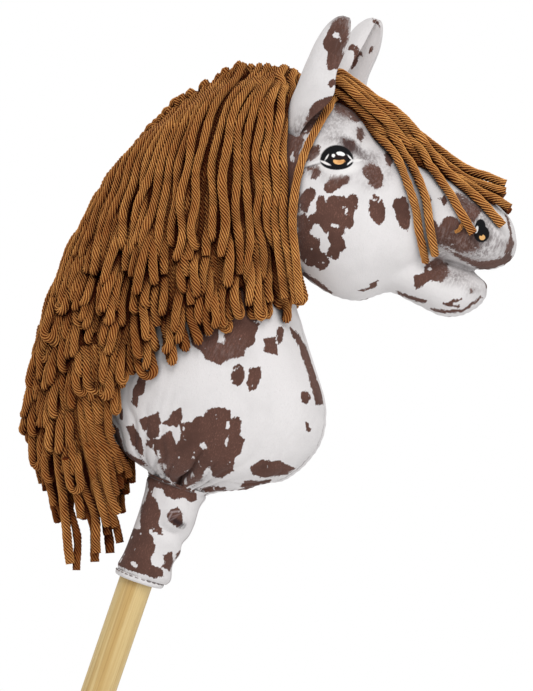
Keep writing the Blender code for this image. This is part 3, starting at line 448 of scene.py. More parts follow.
class HobbyHorseSettings(PropertyGroup):
    skin_cell: FloatProperty(name="Skin cell", description="Mesh size of the plush skin",
                             default=0.0017, min=0.0012, max=0.004, unit='LENGTH')
    fold_depth: FloatProperty(name="Waist folds", description="Depth of the folds at the gathered waist",
                              default=0.0050, min=0, max=0.008, unit='LENGTH')
    seam_depth: FloatProperty(name="Seam depth", description="Depth of the grooves along the seams",
                              default=0.0007, min=0, max=0.002, unit='LENGTH')
    yarn_thickness: FloatProperty(name="Yarn thickness", description="Outer diameter of the plied yarn",
                                  default=0.0066, min=0.003, max=0.008, unit='LENGTH')
    yarn_plies: IntProperty(name="Plies", description="Plies twisted into one yarn",
                            default=8, min=2, max=8)
    yarn_pitch: FloatProperty(name="Twist length", description="Length of one full turn of the plies",
                              default=0.025, min=0.006, max=0.03, unit='LENGTH')
    top_yarns: IntProperty(name="Top yarns", description="Long yarns that show on each side of the mane",
                           default=28, min=10, max=60)
    row_gap: FloatProperty(name="Row gap", description="Distance between the rows of looped yarn ends",
                           default=0.0165, min=0.01, max=0.04, unit='LENGTH')
    plush_white: FloatVectorProperty(name="Plush", description="Ground colour of the plush",
                                     subtype='COLOR', default=(0.75, 0.725, 0.725))
    plush_brown: FloatVectorProperty(name="Patches", description="Colour of the printed patches",
                                     subtype='COLOR', default=(0.112, 0.054, 0.041))
    yarn_colour: FloatVectorProperty(name="Yarn", description="Colour of the yarn in the light",
                                     subtype='COLOR', default=(0.90, 0.403, 0.122))
    pine_colour: FloatVectorProperty(name="Pine", description="Ground colour of the stick",
                                     subtype='COLOR', default=(0.69, 0.52, 0.245))


def settings():
    return bpy.context.scene.hobby_horse


# Shapes

def through(stations, count):
    """Rows on a smooth curve through the stations."""
    last = len(stations) - 1
    rows = []
    for step in range(count):
        place = step * last / (count - 1)
        index = min(int(place), last - 1)
        t = place - index
        p, q = stations[max(index - 1, 0)], stations[index]
        r, s = stations[index + 1], stations[min(index + 2, last)]
        rows.append(tuple(b + 0.5 * t * (c - a + t * (2 * a - 5 * b + 4 * c - d + t * (3 * (b - c) + d - a)))
                          for a, b, c, d in zip(p, q, r, s)))
    return rows


def oval_ring(edge_a, edge_b, half_width, sides):
    """Points round an oval that stands across the middle plane."""
    middle = (edge_a + edge_b) / 2
    reach = (edge_b - edge_a) / 2
    turns = [2 * math.pi * index / sides for index in range(sides)]
    return [middle + reach * math.cos(turn) + Vector((0, half_width * math.sin(turn), 0)) for turn in turns]


def finished_mesh(bm, name):
    mesh = bpy.data.meshes.new(name)
    bm.to_mesh(mesh)
    bm.free()
    return mesh


def mesh_over(name, rings, closed=False):
    """A mesh over rings of equal point counts, with its ends covered or joined to each other."""
    bm = bmesh.new()
    loops = [[bm.verts.new(point) for point in ring] for ring in rings]
    if closed:
        loops.append(loops[0])
    for low, high in zip(loops, loops[1:]):
        for index in range(len(low)):
            following = (index + 1) % len(low)
            bm.faces.new((low[index], low[following], high[following], high[index]))
    if not closed:
        bm.faces.new(loops[0])
        bm.faces.new(loops[-1])
    bmesh.ops.recalc_face_normals(bm, faces=bm.faces)
    return finished_mesh(bm, name)


def on_neck(share):
    return Vector((share[0] * NECK[0], 0, WAIST_LEVEL + share[1] * NECK[1]))


def on_head(share):
    return Vector((share[0] * HEAD[0], 0, HEAD_LEVEL + share[1] * HEAD[1]))


def stuffed_form(name, shape, rings, sides, place, width):
    return mesh_over(name, [oval_ring(place(row[0:2]), place(row[2:4]), row[4] * width, sides)
                            for row in through(shape, rings)])


def stuffed_forms():
    """Neck, head and jaw, as the solids have them."""
    return (stuffed_form("neck", NECK_SHAPE, 104, 72, on_neck, NECK[2]),
            stuffed_form("head", HEAD_SHAPE, 100, 64, on_head, HEAD[2]),
            stuffed_form("jaw", JAW_SHAPE, 60, 44, on_head, JAW_WIDTH))


def joined_tree(meshes):
    """One search tree over several meshes."""
    vertices, faces = [], []
    for mesh in meshes:
        start = len(vertices)
        vertices += [vertex.co.copy() for vertex in mesh.vertices]
        faces += [[start + index for index in face.vertices] for face in mesh.polygons]
    return BVHTree.FromPolygons(vertices, faces)


def place_object(name, data):
    item = bpy.data.objects.new(name, data)
    bpy.context.scene.collection.objects.link(item)
    return item


def settled(item):
    """The object's finished shape as a plain mesh, with its modifiers gone."""
    depsgraph = bpy.context.evaluated_depsgraph_get()
    mesh = bpy.data.meshes.new_from_object(item.evaluated_get(depsgraph))
    if item.type == 'MESH':
        item.modifiers.clear()
        item.data = mesh
        return item
    name = item.name
    bpy.data.objects.remove(item)
    return place_object(name, mesh)


def dressed(item, nodes, finish=None):
    """Hands a finished piece to the frame. A piece of yarn brings its finish along."""
    item.data.name = item.name
    if finish is not None:
        item.data.materials.clear()
        item.data.materials.append(bpy.data.materials[finish])
    item.data.shade_smooth()
    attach(item, BODY)
    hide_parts(*nodes)


def read(items, name, width, kind=float):
    """One property of all the items, a row for each."""
    values = np.zeros(len(items) * width, kind)
    items.foreach_get(name, values)
    return values.reshape(-1, width)


def points_of(mesh):
    return read(mesh.vertices, "co", 3)


def give_points(mesh, points):
    mesh.vertices.foreach_set("co", points.ravel())
    mesh.update()


def corners_of(mesh):
    """The vertex at each corner of each face."""
    return read(mesh.loops, "vertex_index", 1, int).ravel()


def store(mesh, name, values):
    attribute = mesh.attributes.new(name, 'FLOAT', 'POINT')
    attribute.data.foreach_set("value", np.asarray(values, np.float32))


def ease(values, low, high):
    """0 up to low and 1 from high on, smooth between."""
    share = np.clip((values - low) / (high - low), 0, 1)
    return share * share * (3 - 2 * share)


def eased(value, low, high):
    """The same for one number."""
    return float(ease(value, low, high))


def bell(value, middle, size):
    """1 in the middle, hardly anything at twice the size; for one number."""
    return math.exp(-((value - middle) / size) ** 2)


def lumps(points, size, seed):
    """Smooth noise from -1 to 1 at each point."""
    scaled = points / size + seed
    return np.array([noise.noise(Vector(point)) for point in scaled])


# The photograph

def viewing_frame():
    """The camera's right, away and up, the point it aims at, and its place from the stick's pixel."""
    right = Vector((math.cos(AZIMUTH), math.sin(AZIMUTH), 0))
    away = Vector((-math.sin(AZIMUTH) * math.cos(ELEVATION), math.cos(AZIMUTH) * math.cos(ELEVATION),
                   -math.sin(ELEVATION)))
    up = right.cross(away)
    dx = PHOTO_SIZE[0] / 2 - STICK_PIXEL[0]
    dy = STICK_PIXEL[1] - PHOTO_SIZE[1] / 2
    across = PIXEL * (dx * math.cos(ROLL) - dy * math.sin(ROLL))
    rise = PIXEL * (dx * math.sin(ROLL) + dy * math.cos(ROLL))
    aim = Vector((0, 0, HEM_LEVEL)) + right * across + up * rise
    return right, away, up, aim, across, rise


RIGHT_HAND, AWAY, UPWARD, AIM, AIM_ACROSS, AIM_RISE = viewing_frame()


def in_photo(points):
    """Photograph pixels of points, seen by the camera."""
    local = points - np.array(AIM)
    nearness = CAMERA_DISTANCE / (CAMERA_DISTANCE + local @ np.array(AWAY))
    across = (local @ np.array(RIGHT_HAND)) * nearness + AIM_ACROSS
    up = (local @ np.array(UPWARD)) * nearness + AIM_RISE
    px = STICK_PIXEL[0] + (across * math.cos(ROLL) + up * math.sin(ROLL)) / PIXEL
    py = STICK_PIXEL[1] + (across * math.sin(ROLL) - up * math.cos(ROLL)) / PIXEL
    return np.stack((px, py), axis=1)


def from_picture(across, up, y):
    """The point at side distance y (m) that shows at a place in the picture plane (mm)."""
    eye = AIM - AWAY * CAMERA_DISTANCE
    seen = AIM + RIGHT_HAND * (across / 1000 - AIM_ACROSS) + UPWARD * (up / 1000 - AIM_RISE)
    return eye + (seen - eye) * ((y - eye.y) / (seen.y - eye.y))


def picture_place(pixel):
    """The place in the picture plane (mm) of a photograph's pixel."""
    dx, dy = pixel[0] - STICK_PIXEL[0], pixel[1] - STICK_PIXEL[1]
    across = dx * math.cos(ROLL) + dy * math.sin(ROLL)
    up = dx * math.sin(ROLL) - dy * math.cos(ROLL)
    return across * PIXEL * 1000, up * PIXEL * 1000


def inside_outline(pixels, outline):
    """Distance inside an outline, in pixels; negative outside."""
    best = np.full(len(pixels), np.inf)
    inside = np.zeros(len(pixels), bool)
    for index, start in enumerate(outline):
        a = np.array(start)
        b = np.array(outline[(index + 1) % len(outline)])
        edge = b - a
        share = np.clip(((pixels - a) @ edge) / (edge @ edge), 0, 1)
        gap = np.linalg.norm(pixels - a - share[:, None] * edge, axis=1)
        best = np.minimum(best, gap)
        crosses = (a[1] > pixels[:, 1]) != (b[1] > pixels[:, 1])
        rise = edge[1] if edge[1] else 1e-9
        inside ^= crosses & (pixels[:, 0] < a[0] + (pixels[:, 1] - a[1]) / rise * edge[0])
    return np.where(inside, best, -best)


def lay_out_coat(mesh, outlines, bare=BARE_SPOTS, spray=SPRAY, mirrored=True):
    """Stores the patches of the coat, the sprayed shading and the picture places on a mesh."""
    points = points_of(mesh)
    folded = np.stack((points[:, 0], -np.abs(points[:, 1]), points[:, 2]), axis=1)
    near = in_photo(folded if mirrored else points)
    left = (points[:, 1] > 0) & mirrored
    patches = np.where(left[:, None], near * LEFT_CUT_SCALE + LEFT_CUT_SHIFT, near)
    coat = np.full(len(points), -np.inf)
    for outline in outlines:
        coat = np.maximum(coat, inside_outline(patches, outline))
    for outline in bare:
        coat = np.minimum(coat, -inside_outline(patches, outline))
    shade = np.zeros(len(points))
    for cx, cy, rx, ry, strength in spray:
        reach = np.hypot((near[:, 0] - cx) / rx, (near[:, 1] - cy) / ry)
        shade = 1 - (1 - shade) * (1 - strength * ease(-reach, *SPRAY_FADE))
    store(mesh, "coat", np.clip(coat * PIXEL * 1000, -COAT_REACH, COAT_REACH))
    store(mesh, "spray", shade)
    layer = mesh.uv_layers.new(name="picture")
    layer.data.foreach_set("uv", (near[corners_of(mesh)] / 1000).ravel())


def keep_marks_off(mesh, left_alone=False):
    """Takes the picture places from a mesh, or from its left side alone, so that no ink shape or painted mark
    shows there.
    """
    layer = mesh.uv_layers["picture"].data
    places = read(layer, "uv", 2)
    places[(points_of(mesh)[corners_of(mesh), 1] > 0) | (not left_alone)] = 0
    layer.foreach_set("uv", places.ravel())


# Finishes

def node(tree, kind, inputs=None, **options):
    """A node with its inputs set to values or linked from sockets."""
    item = tree.nodes.new(kind)
    for key, value in options.items():
        setattr(item, key, value)
    for key, value in (inputs or {}).items():
        if isinstance(value, bpy.types.NodeSocket):
            tree.links.new(value, item.inputs[key])
        else:
            item.inputs[key].default_value = value
    return item


def maths(tree, operation, a, b=0.0, c=0.0):
    return node(tree, 'ShaderNodeMath', {0: a, 1: b, 2: c}, operation=operation).outputs[0]


def scaled(tree, value, factor, plus):
    return maths(tree, 'MULTIPLY_ADD', value, factor, plus)


def product(tree, first, *others):
    for other in others:
        first = maths(tree, 'MULTIPLY', first, other)
    return first


def band(tree, value, low, high):
    """0 below low, 1 above high, eased between."""
    inputs = {"Value": value, "From Min": low, "From Max": high}
    return node(tree, 'ShaderNodeMapRange', inputs, interpolation_type='SMOOTHSTEP').outputs[0]


def blend(tree, share, under, over):
    """One colour over another."""
    colours = {6: under, 7: over}
    inputs = {key: value if isinstance(value, bpy.types.NodeSocket) else (*value, 1)
              for key, value in colours.items()}
    return node(tree, 'ShaderNodeMix', {0: share, **inputs}, data_type='RGBA').outputs[2]


def tinted(colour, factors):
    """A colour times one factor, or times one for each channel."""
    if isinstance(factors, float):
        factors = (factors,) * 3
    return tuple(min(1, value * factor) for value, factor in zip(colour, factors))


def grain(tree, vector, scale, stretch=(1, 1, 1), detail=3.0, roughness=0.6):
    spread = node(tree, 'ShaderNodeMapping', {"Vector": vector, "Scale": stretch})
    inputs = {"Vector": spread.outputs[0], "Scale": scale, "Detail": detail, "Roughness": roughness}
    return node(tree, 'ShaderNodeTexNoise', inputs).outputs[0]


def stored(tree, name):
    return node(tree, 'ShaderNodeAttribute', attribute_name=name).outputs["Fac"]


def shade_between(tree, distance, samples):
    """1 in the open, less where other surfaces stand near."""
    return node(tree, 'ShaderNodeAmbientOcclusion', {"Distance": distance}, samples=samples).outputs["AO"]


def new_finish(name, roughness, sheen=0.0, specular=0.5, metallic=0.0):
    material = bpy.data.materials.new(name)
    material.use_nodes = True
    tree = material.node_tree
    shader = tree.nodes["Principled BSDF"]
    for label, value in (("Roughness", roughness), ("Sheen Weight", sheen), ("Sheen Roughness", 0.5),
                         ("Specular IOR Level", specular), ("Metallic", metallic)):
        shader.inputs[label].default_value = value
    return material, tree, shader, node(tree, 'ShaderNodeTexCoord').outputs["Object"]


def finish_with(tree, shader, colour, height, distance, strength):
    tree.links.new(colour, shader.inputs["Base Color"])
    bump = node(tree, 'ShaderNodeBump', {"Height": height, "Distance": distance, "Strength": strength})
    tree.links.new(bump.outputs[0], shader.inputs["Normal"])


def make_plush():
    """Short plush with printed patches, sprayed shading, seams, the printed eye and nostril, and painted
    shade in its creases.
    """
    _, tree, shader, place = new_finish("printed_plush", 0.95, sheen=0.10, specular=0.12)
    white = tuple(settings().plush_white)
    brown = tuple(settings().plush_brown)
    tufts = grain(tree, place, 430, (1, 1, 0.45), 4)
    nap = grain(tree, place, 1500, (1, 1, 0.35), 2)
    clouds = grain(tree, place, 38)
    streaks = grain(tree, place, 620, (1, 1, 0.26), 3, 0.65)
    spray = stored(tree, "spray")
    # Ragged patches, frayed where they are sprayed and chipped inside (mm from the edge)
    ragged = scaled(tree, nap, 1.4, scaled(tree, tufts, 4.4, -2.2))
    frayed = product(tree, spray, scaled(tree, streaks, 14.0, -7.0))
    edge = maths(tree, 'ADD', maths(tree, 'ADD', stored(tree, "coat"), ragged), frayed)
    patch = band(tree, edge, scaled(tree, spray, -1.5, 0.45), scaled(tree, spray, 1.5, 0.95))
    chips = band(tree, grain(tree, place, 165, (1, 1, 0.7), 2), 0.67, 0.71)
    patch = product(tree, patch, scaled(tree, chips, -0.9, 1.0))
    # The white ground and the brown of the patches, each with lighter and darker hairs
    pale = blend(tree, band(tree, clouds, 0.35, 0.75), white, tinted(white, 0.93))
    pale = blend(tree, band(tree, nap, 0.50, 0.95), pale, tinted(white, 0.86))
    dark = blend(tree, band(tree, nap, 0.50, 0.80), brown, tinted(brown, 2.1))
    dark = blend(tree, band(tree, clouds, 0.40, 0.75), dark, tinted(brown, 0.74))
    hairs = band(tree, streaks, 0.40, 0.72)
    dark = blend(tree, product(tree, spray, hairs, 0.75), dark, (0.30, 0.24, 0.23))
    colour = blend(tree, patch, pale, dark)
    # Sprayed shading on the ground between the patches
    haze = scaled(tree, band(tree, streaks, 0.68, 0.34), 0.66, 0.22)
    haze = product(tree, spray, product(tree, haze, maths(tree, 'SUBTRACT', 1.0, patch)))
    colour = blend(tree, haze, colour, (0.095, 0.062, 0.060))
    colour = with_inks_and_painted_light(tree, colour, nap, streaks)
    # The seam's thread line, and painted shade in the creases
    across = node(tree, 'ShaderNodeSeparateXYZ', {0: place}).outputs[1]
    seam = band(tree, maths(tree, 'ABSOLUTE', across), 0.0008, 0.0003)
    colour = blend(tree, product(tree, seam, 0.55), colour, (0.10, 0.06, 0.05))
    crease_shade = band(tree, shade_between(tree, 0.006, 4), 0.80, 0.20)
    colour = blend(tree, product(tree, crease_shade, 0.7), colour, (0.045, 0.026, 0.024))
    finish_with(tree, shader, colour, scaled(tree, tufts, 0.7, nap), 0.0005, 0.55)


def with_inks_and_painted_light(tree, colour, nap, streaks):
    """Lays the ink shapes and the painted shade and highlights of the tack's bump over the coat, with the nap
    in their edges.
    """
    picture = node(tree, 'ShaderNodeUVMap', uv_map="picture").outputs[0]
    for centre, (wide, high, *low), turn, soft, mark_colour, strength in INKS_AND_PAINTED_LIGHT:
        inputs = {
            "Vector": picture,
            "Location": (centre[0] / 1000, centre[1] / 1000, 0),
            "Rotation": (0, 0, math.radians(turn)),
            "Scale": (wide / 1000, high / 1000, 1),
        }
        local = node(tree, 'ShaderNodeMapping', inputs, vector_type='TEXTURE').outputs[0]
        if low:
            parts = node(tree, 'ShaderNodeSeparateXYZ', {0: local}).outputs
            below = product(tree, maths(tree, 'MAXIMUM', parts[1], 0.0), high / low[0])
            height = maths(tree, 'ADD', below, maths(tree, 'MINIMUM', parts[1], 0.0))
            local = node(tree, 'ShaderNodeCombineXYZ', {0: parts[0], 1: height}).outputs[0]
        reach = node(tree, 'ShaderNodeVectorMath', {0: local}, operation='LENGTH').outputs["Value"]
        rough = scaled(tree, nap, 0.8 / high, reach)
        if soft > 0.5:
            rough = maths(tree, 'ADD', rough, scaled(tree, streaks, 1.6, -0.8))
        share = band(tree, rough, 1 + soft + 0.4 / high, 1 - soft + 0.4 / high)
        colour = blend(tree, product(tree, share, strength), colour, mark_colour)
    return colour


def make_yarn():
    """Plied acrylic yarn with fine fibres and a random tone, with painted shade in its ply grooves, between
    the yarns and on deeper yarns.
    """
    _, tree, shader, place = new_finish("plied_yarn", 0.9, sheen=0.02, specular=0.035)
    colour = tuple(settings().yarn_colour)
    shader.inputs["Sheen Tint"].default_value = (*(0.5 + 0.5 * c for c in colour), 1)
    fibres = grain(tree, place, 1000, roughness=0.7)
    patches = grain(tree, place, 60, detail=2)
    lit = blend(tree, band(tree, fibres, 0.36, 0.66), tinted(colour, 0.62), tinted(colour, 1.25))
    lit = blend(tree, band(tree, patches, 0.35, 0.75), lit, tinted(colour, 0.78))
    # Random tone, and painted shade on the lower rows and the deepest hanging yarns
    lit = blend(tree, product(tree, stored(tree, "tone"), 0.85), lit, (0.190, 0.054, 0.0125))
    # Painted shade in the grooves of the plies, broken up by the fibres and the patches
    groove_shade = scaled(tree, patches, 0.5, maths(tree, 'SUBTRACT', stored(tree, "groove"), 0.5))
    groove_shade = scaled(tree, fibres, 0.5, groove_shade)
    final = blend(tree, band(tree, groove_shade, 0.16, 0.80), lit, tinted(colour, (0.13, 0.060, 0.034)))
    # Light hardly gets in between the yarns
    gaps = band(tree, shade_between(tree, 0.012, 6), 0.87, 0.30)
    final = blend(tree, gaps, final, (0.040, 0.005, 0.002))
    finish_with(tree, shader, final, fibres, 0.0006, 0.7)


def make_pine():
    """Pale sanded pine with long grain lines."""
    material, tree, shader, place = new_finish("pine", 0.55, specular=0.35)
    base = tuple(settings().pine_colour)
    bands = grain(tree, place, 130, (1, 1, 0.020), 4, 0.55)
    lines = grain(tree, place, 520, (1, 1, 0.012), 3, 0.5)
    pores = grain(tree, place, 1900, (1, 1, 0.05), 2)
    colour = blend(tree, band(tree, bands, 0.42, 0.62), base, tinted(base, (0.80, 0.70, 0.55)))
    streaks = product(tree, band(tree, lines, 0.52, 0.66), 0.5)
    colour = blend(tree, streaks, colour, tinted(base, (0.62, 0.48, 0.34)))
    dots = product(tree, band(tree, pores, 0.58, 0.75), 0.25)
    colour = blend(tree, dots, colour, (0.30, 0.17, 0.07))
    finish_with(tree, shader, colour, scaled(tree, lines, 0.6, pores), 0.0002, 0.5)
    return material


def make_plain(name, colour, roughness, scale, bump, metallic=0.0):
    """A plain finish with fine variation, for the pieces that hardly show."""
    material, tree, shader, place = new_finish(name, roughness, metallic=metallic)
    flecks = grain(tree, place, scale)
    mixed = blend(tree, band(tree, flecks, 0.35, 0.70), tinted(colour, 0.75), colour)
    finish_with(tree, shader, mixed, flecks, bump, 0.5)
    return material


# Yarn

def yarn_tree():
    """Twists a ring of plies along every curve."""
    tree = bpy.data.node_groups.new("plied yarn", 'GeometryNodeTree')
    face = tree.interface
    face.new_socket("Geometry", in_out='INPUT', socket_type='NodeSocketGeometry')
    face.new_socket("Geometry", in_out='OUTPUT', socket_type='NodeSocketGeometry')
    for label, kind in (("Diameter", 'Float'), ("Plies", 'Int'), ("Pitch", 'Float'), ("Finish", 'Material')):
        face.new_socket(label, in_out='INPUT', socket_type='NodeSocket' + kind)
    given = node(tree, 'NodeGroupInput').outputs
    step = maths(tree, 'DIVIDE', given["Pitch"], STEPS_IN_A_TURN)
    even = node(tree, 'GeometryNodeResampleCurve', {"Curve": given["Geometry"], "Length": step},
                mode='LENGTH')
    along = node(tree, 'GeometryNodeSplineParameter').outputs["Length"]
    place = node(tree, 'GeometryNodeInputPosition').outputs[0]
    # The twist and the girth are uneven, as in soft wool
    slack = node(tree, 'ShaderNodeTexNoise', {"Vector": place, "Scale": 55.0, "Detail": 1.0}).outputs[0]
    turns = product(tree, maths(tree, 'DIVIDE', along, given["Pitch"]), -2 * math.pi)
    turns = scaled(tree, slack, 3.2, turns)
    swell = node(tree, 'ShaderNodeTexNoise', {"Vector": place, "Scale": 150.0, "Detail": 1.0}).outputs[0]
    girth = product(tree, node(tree, 'GeometryNodeInputRadius').outputs[0], scaled(tree, swell, 0.36, 0.82))
    # A curve comes with its random tone and painted shade as tilt, because a curve holds no other value
    tilt = node(tree, 'GeometryNodeInputCurveTilt').outputs[0]
    toned = node(tree, 'GeometryNodeStoreNamedAttribute',
                 {"Geometry": even.outputs[0], "Name": "tone", "Value": tilt},
                 data_type='FLOAT', domain='POINT')
    twisted = node(tree, 'GeometryNodeSetCurveTilt', {"Curve": toned.outputs[0], "Tilt": turns})
    # A star with one point for each ply
    sides = product(tree, given["Plies"], 2.0)
    radius = maths(tree, 'DIVIDE', given["Diameter"], 2.0)
    ring = node(tree, 'GeometryNodeCurvePrimitiveCircle', {"Resolution": sides, "Radius": radius},
                mode='RADIUS')
    order = node(tree, 'GeometryNodeInputIndex').outputs[0]
    low = maths(tree, 'COMPARE', maths(tree, 'MODULO', order, 2.0), 1.0, 0.1)
    shrink = maths(tree, 'SUBTRACT', 1.0, product(tree, low, GROOVE_DEPTH))
    pulled = node(tree, 'ShaderNodeVectorMath', {0: place, "Scale": shrink}, operation='SCALE').outputs[0]
    star = node(tree, 'GeometryNodeSetPosition', {"Geometry": ring.outputs[0], "Position": pulled})
    marked = node(tree, 'GeometryNodeStoreNamedAttribute',
                  {"Geometry": star.outputs[0], "Name": "groove", "Value": low},
                  data_type='FLOAT', domain='POINT')
    swept = node(tree, 'GeometryNodeCurveToMesh', {
        "Curve": twisted.outputs[0], "Profile Curve": marked.outputs[0], "Scale": girth, "Fill Caps": True})
    facets = node(tree, 'GeometryNodeTriangulate', {"Mesh": swept.outputs[0]})
    real = node(tree, 'GeometryNodeRealizeInstances', {"Geometry": facets.outputs[0]})
    painted = node(tree, 'GeometryNodeSetMaterial',
                   {"Geometry": real.outputs[0], "Material": given["Finish"]})
    node(tree, 'NodeGroupOutput', {"Geometry": painted.outputs[0]})
    return tree


def spin_yarn(name, strands, finish, plies=None, diameter=None, pitch=None):
    """One mesh of plied yarn along all the strands, each a path, its girths and its random tone with painted
    shade.
    """
    curve = bpy.data.curves.new(name, 'CURVE')
    curve.dimensions = '3D'
    for path, girth, tone in strands:
        spline = curve.splines.new('POLY')
        spline.points.add(len(path) - 1)
        for spot, point, width in zip(spline.points, path, girth):
            spot.co = (*point, 1)
            spot.radius = width
            spot.tilt = tone
    item = place_object(name, curve)
    tree = bpy.data.node_groups.get("plied yarn") or yarn_tree()
    modifier = item.modifiers.new("yarn", 'NODES')
    modifier.node_group = tree
    given = {"Diameter": diameter or settings().yarn_thickness, "Plies": plies or settings().yarn_plies,
             "Pitch": pitch or settings().yarn_pitch, "Finish": bpy.data.materials[finish]}
    for socket in tree.interface.items_tree:
        if socket.name in given:
            modifier[socket.identifier] = given[socket.name]
    return settled(item)


def yarn_piece(name, strands, nodes):
    """A piece of the mane or forelock, with its cut ends crisp."""
    piece = spin_yarn(name, strands, "plied_yarn")
    dressed(piece, nodes)
    piece.data.set_sharp_from_angle(angle=math.radians(72))


class Reach:
    """How far surfaces reach sideways from the middle plane, on a grid of x and z."""

    LOW = np.array((-0.15, 0.50))
    CELL = 0.002
    SHAPE = (190, 260)
    INSIDE = 1.001      # keeps a place within the last cell

    def __init__(self, tree, side, spread=0):
        """The values run on for so many cells beyond the surfaces."""
        self.grid = np.full(self.SHAPE, np.nan)
        for i in range(self.SHAPE[0]):
            for j in range(self.SHAPE[1]):
                x, z = self.LOW + (i * self.CELL, j * self.CELL)
                hit = tree.ray_cast(Vector((x, side, z)), Vector((0, -side, 0)))[0]
                if hit is not None and hit.y * side > 0:
                    self.grid[i, j] = hit.y * side
        for _ in range(spread):
            stack = np.stack(self.nine(constant_values=np.nan))
            count = (~np.isnan(stack)).sum(axis=0)
            average = np.where(count > 0, np.nansum(stack, axis=0) / np.maximum(count, 1), np.nan)
            self.grid = np.where(np.isnan(self.grid), average, self.grid)
        self.grid = np.nan_to_num(self.grid, nan=0.0)

    def nine(self, **border):
        """The grid moved by one cell to every side, and itself."""
        padded = np.pad(self.grid, 1, **border)
        return [padded[1 + a:1 + a + self.SHAPE[0], 1 + b:1 + b + self.SHAPE[1]]
                for a in (-1, 0, 1) for b in (-1, 0, 1)]

    def smooth(self, rounds):
        for _ in range(rounds):
            self.grid = sum(self.nine(mode='edge')) / 9
        return self

    def at(self, x, z):
        u = min(max((x - self.LOW[0]) / self.CELL, 0), self.SHAPE[0] - self.INSIDE)
        v = min(max((z - self.LOW[1]) / self.CELL, 0), self.SHAPE[1] - self.INSIDE)
        i, j = int(u), int(v)
        a, b = u - i, v - j
        g = self.grid
        return ((g[i, j] * (1 - a) + g[i + 1, j] * a) * (1 - b)
                + (g[i, j + 1] * (1 - a) + g[i + 1, j + 1] * a) * b)


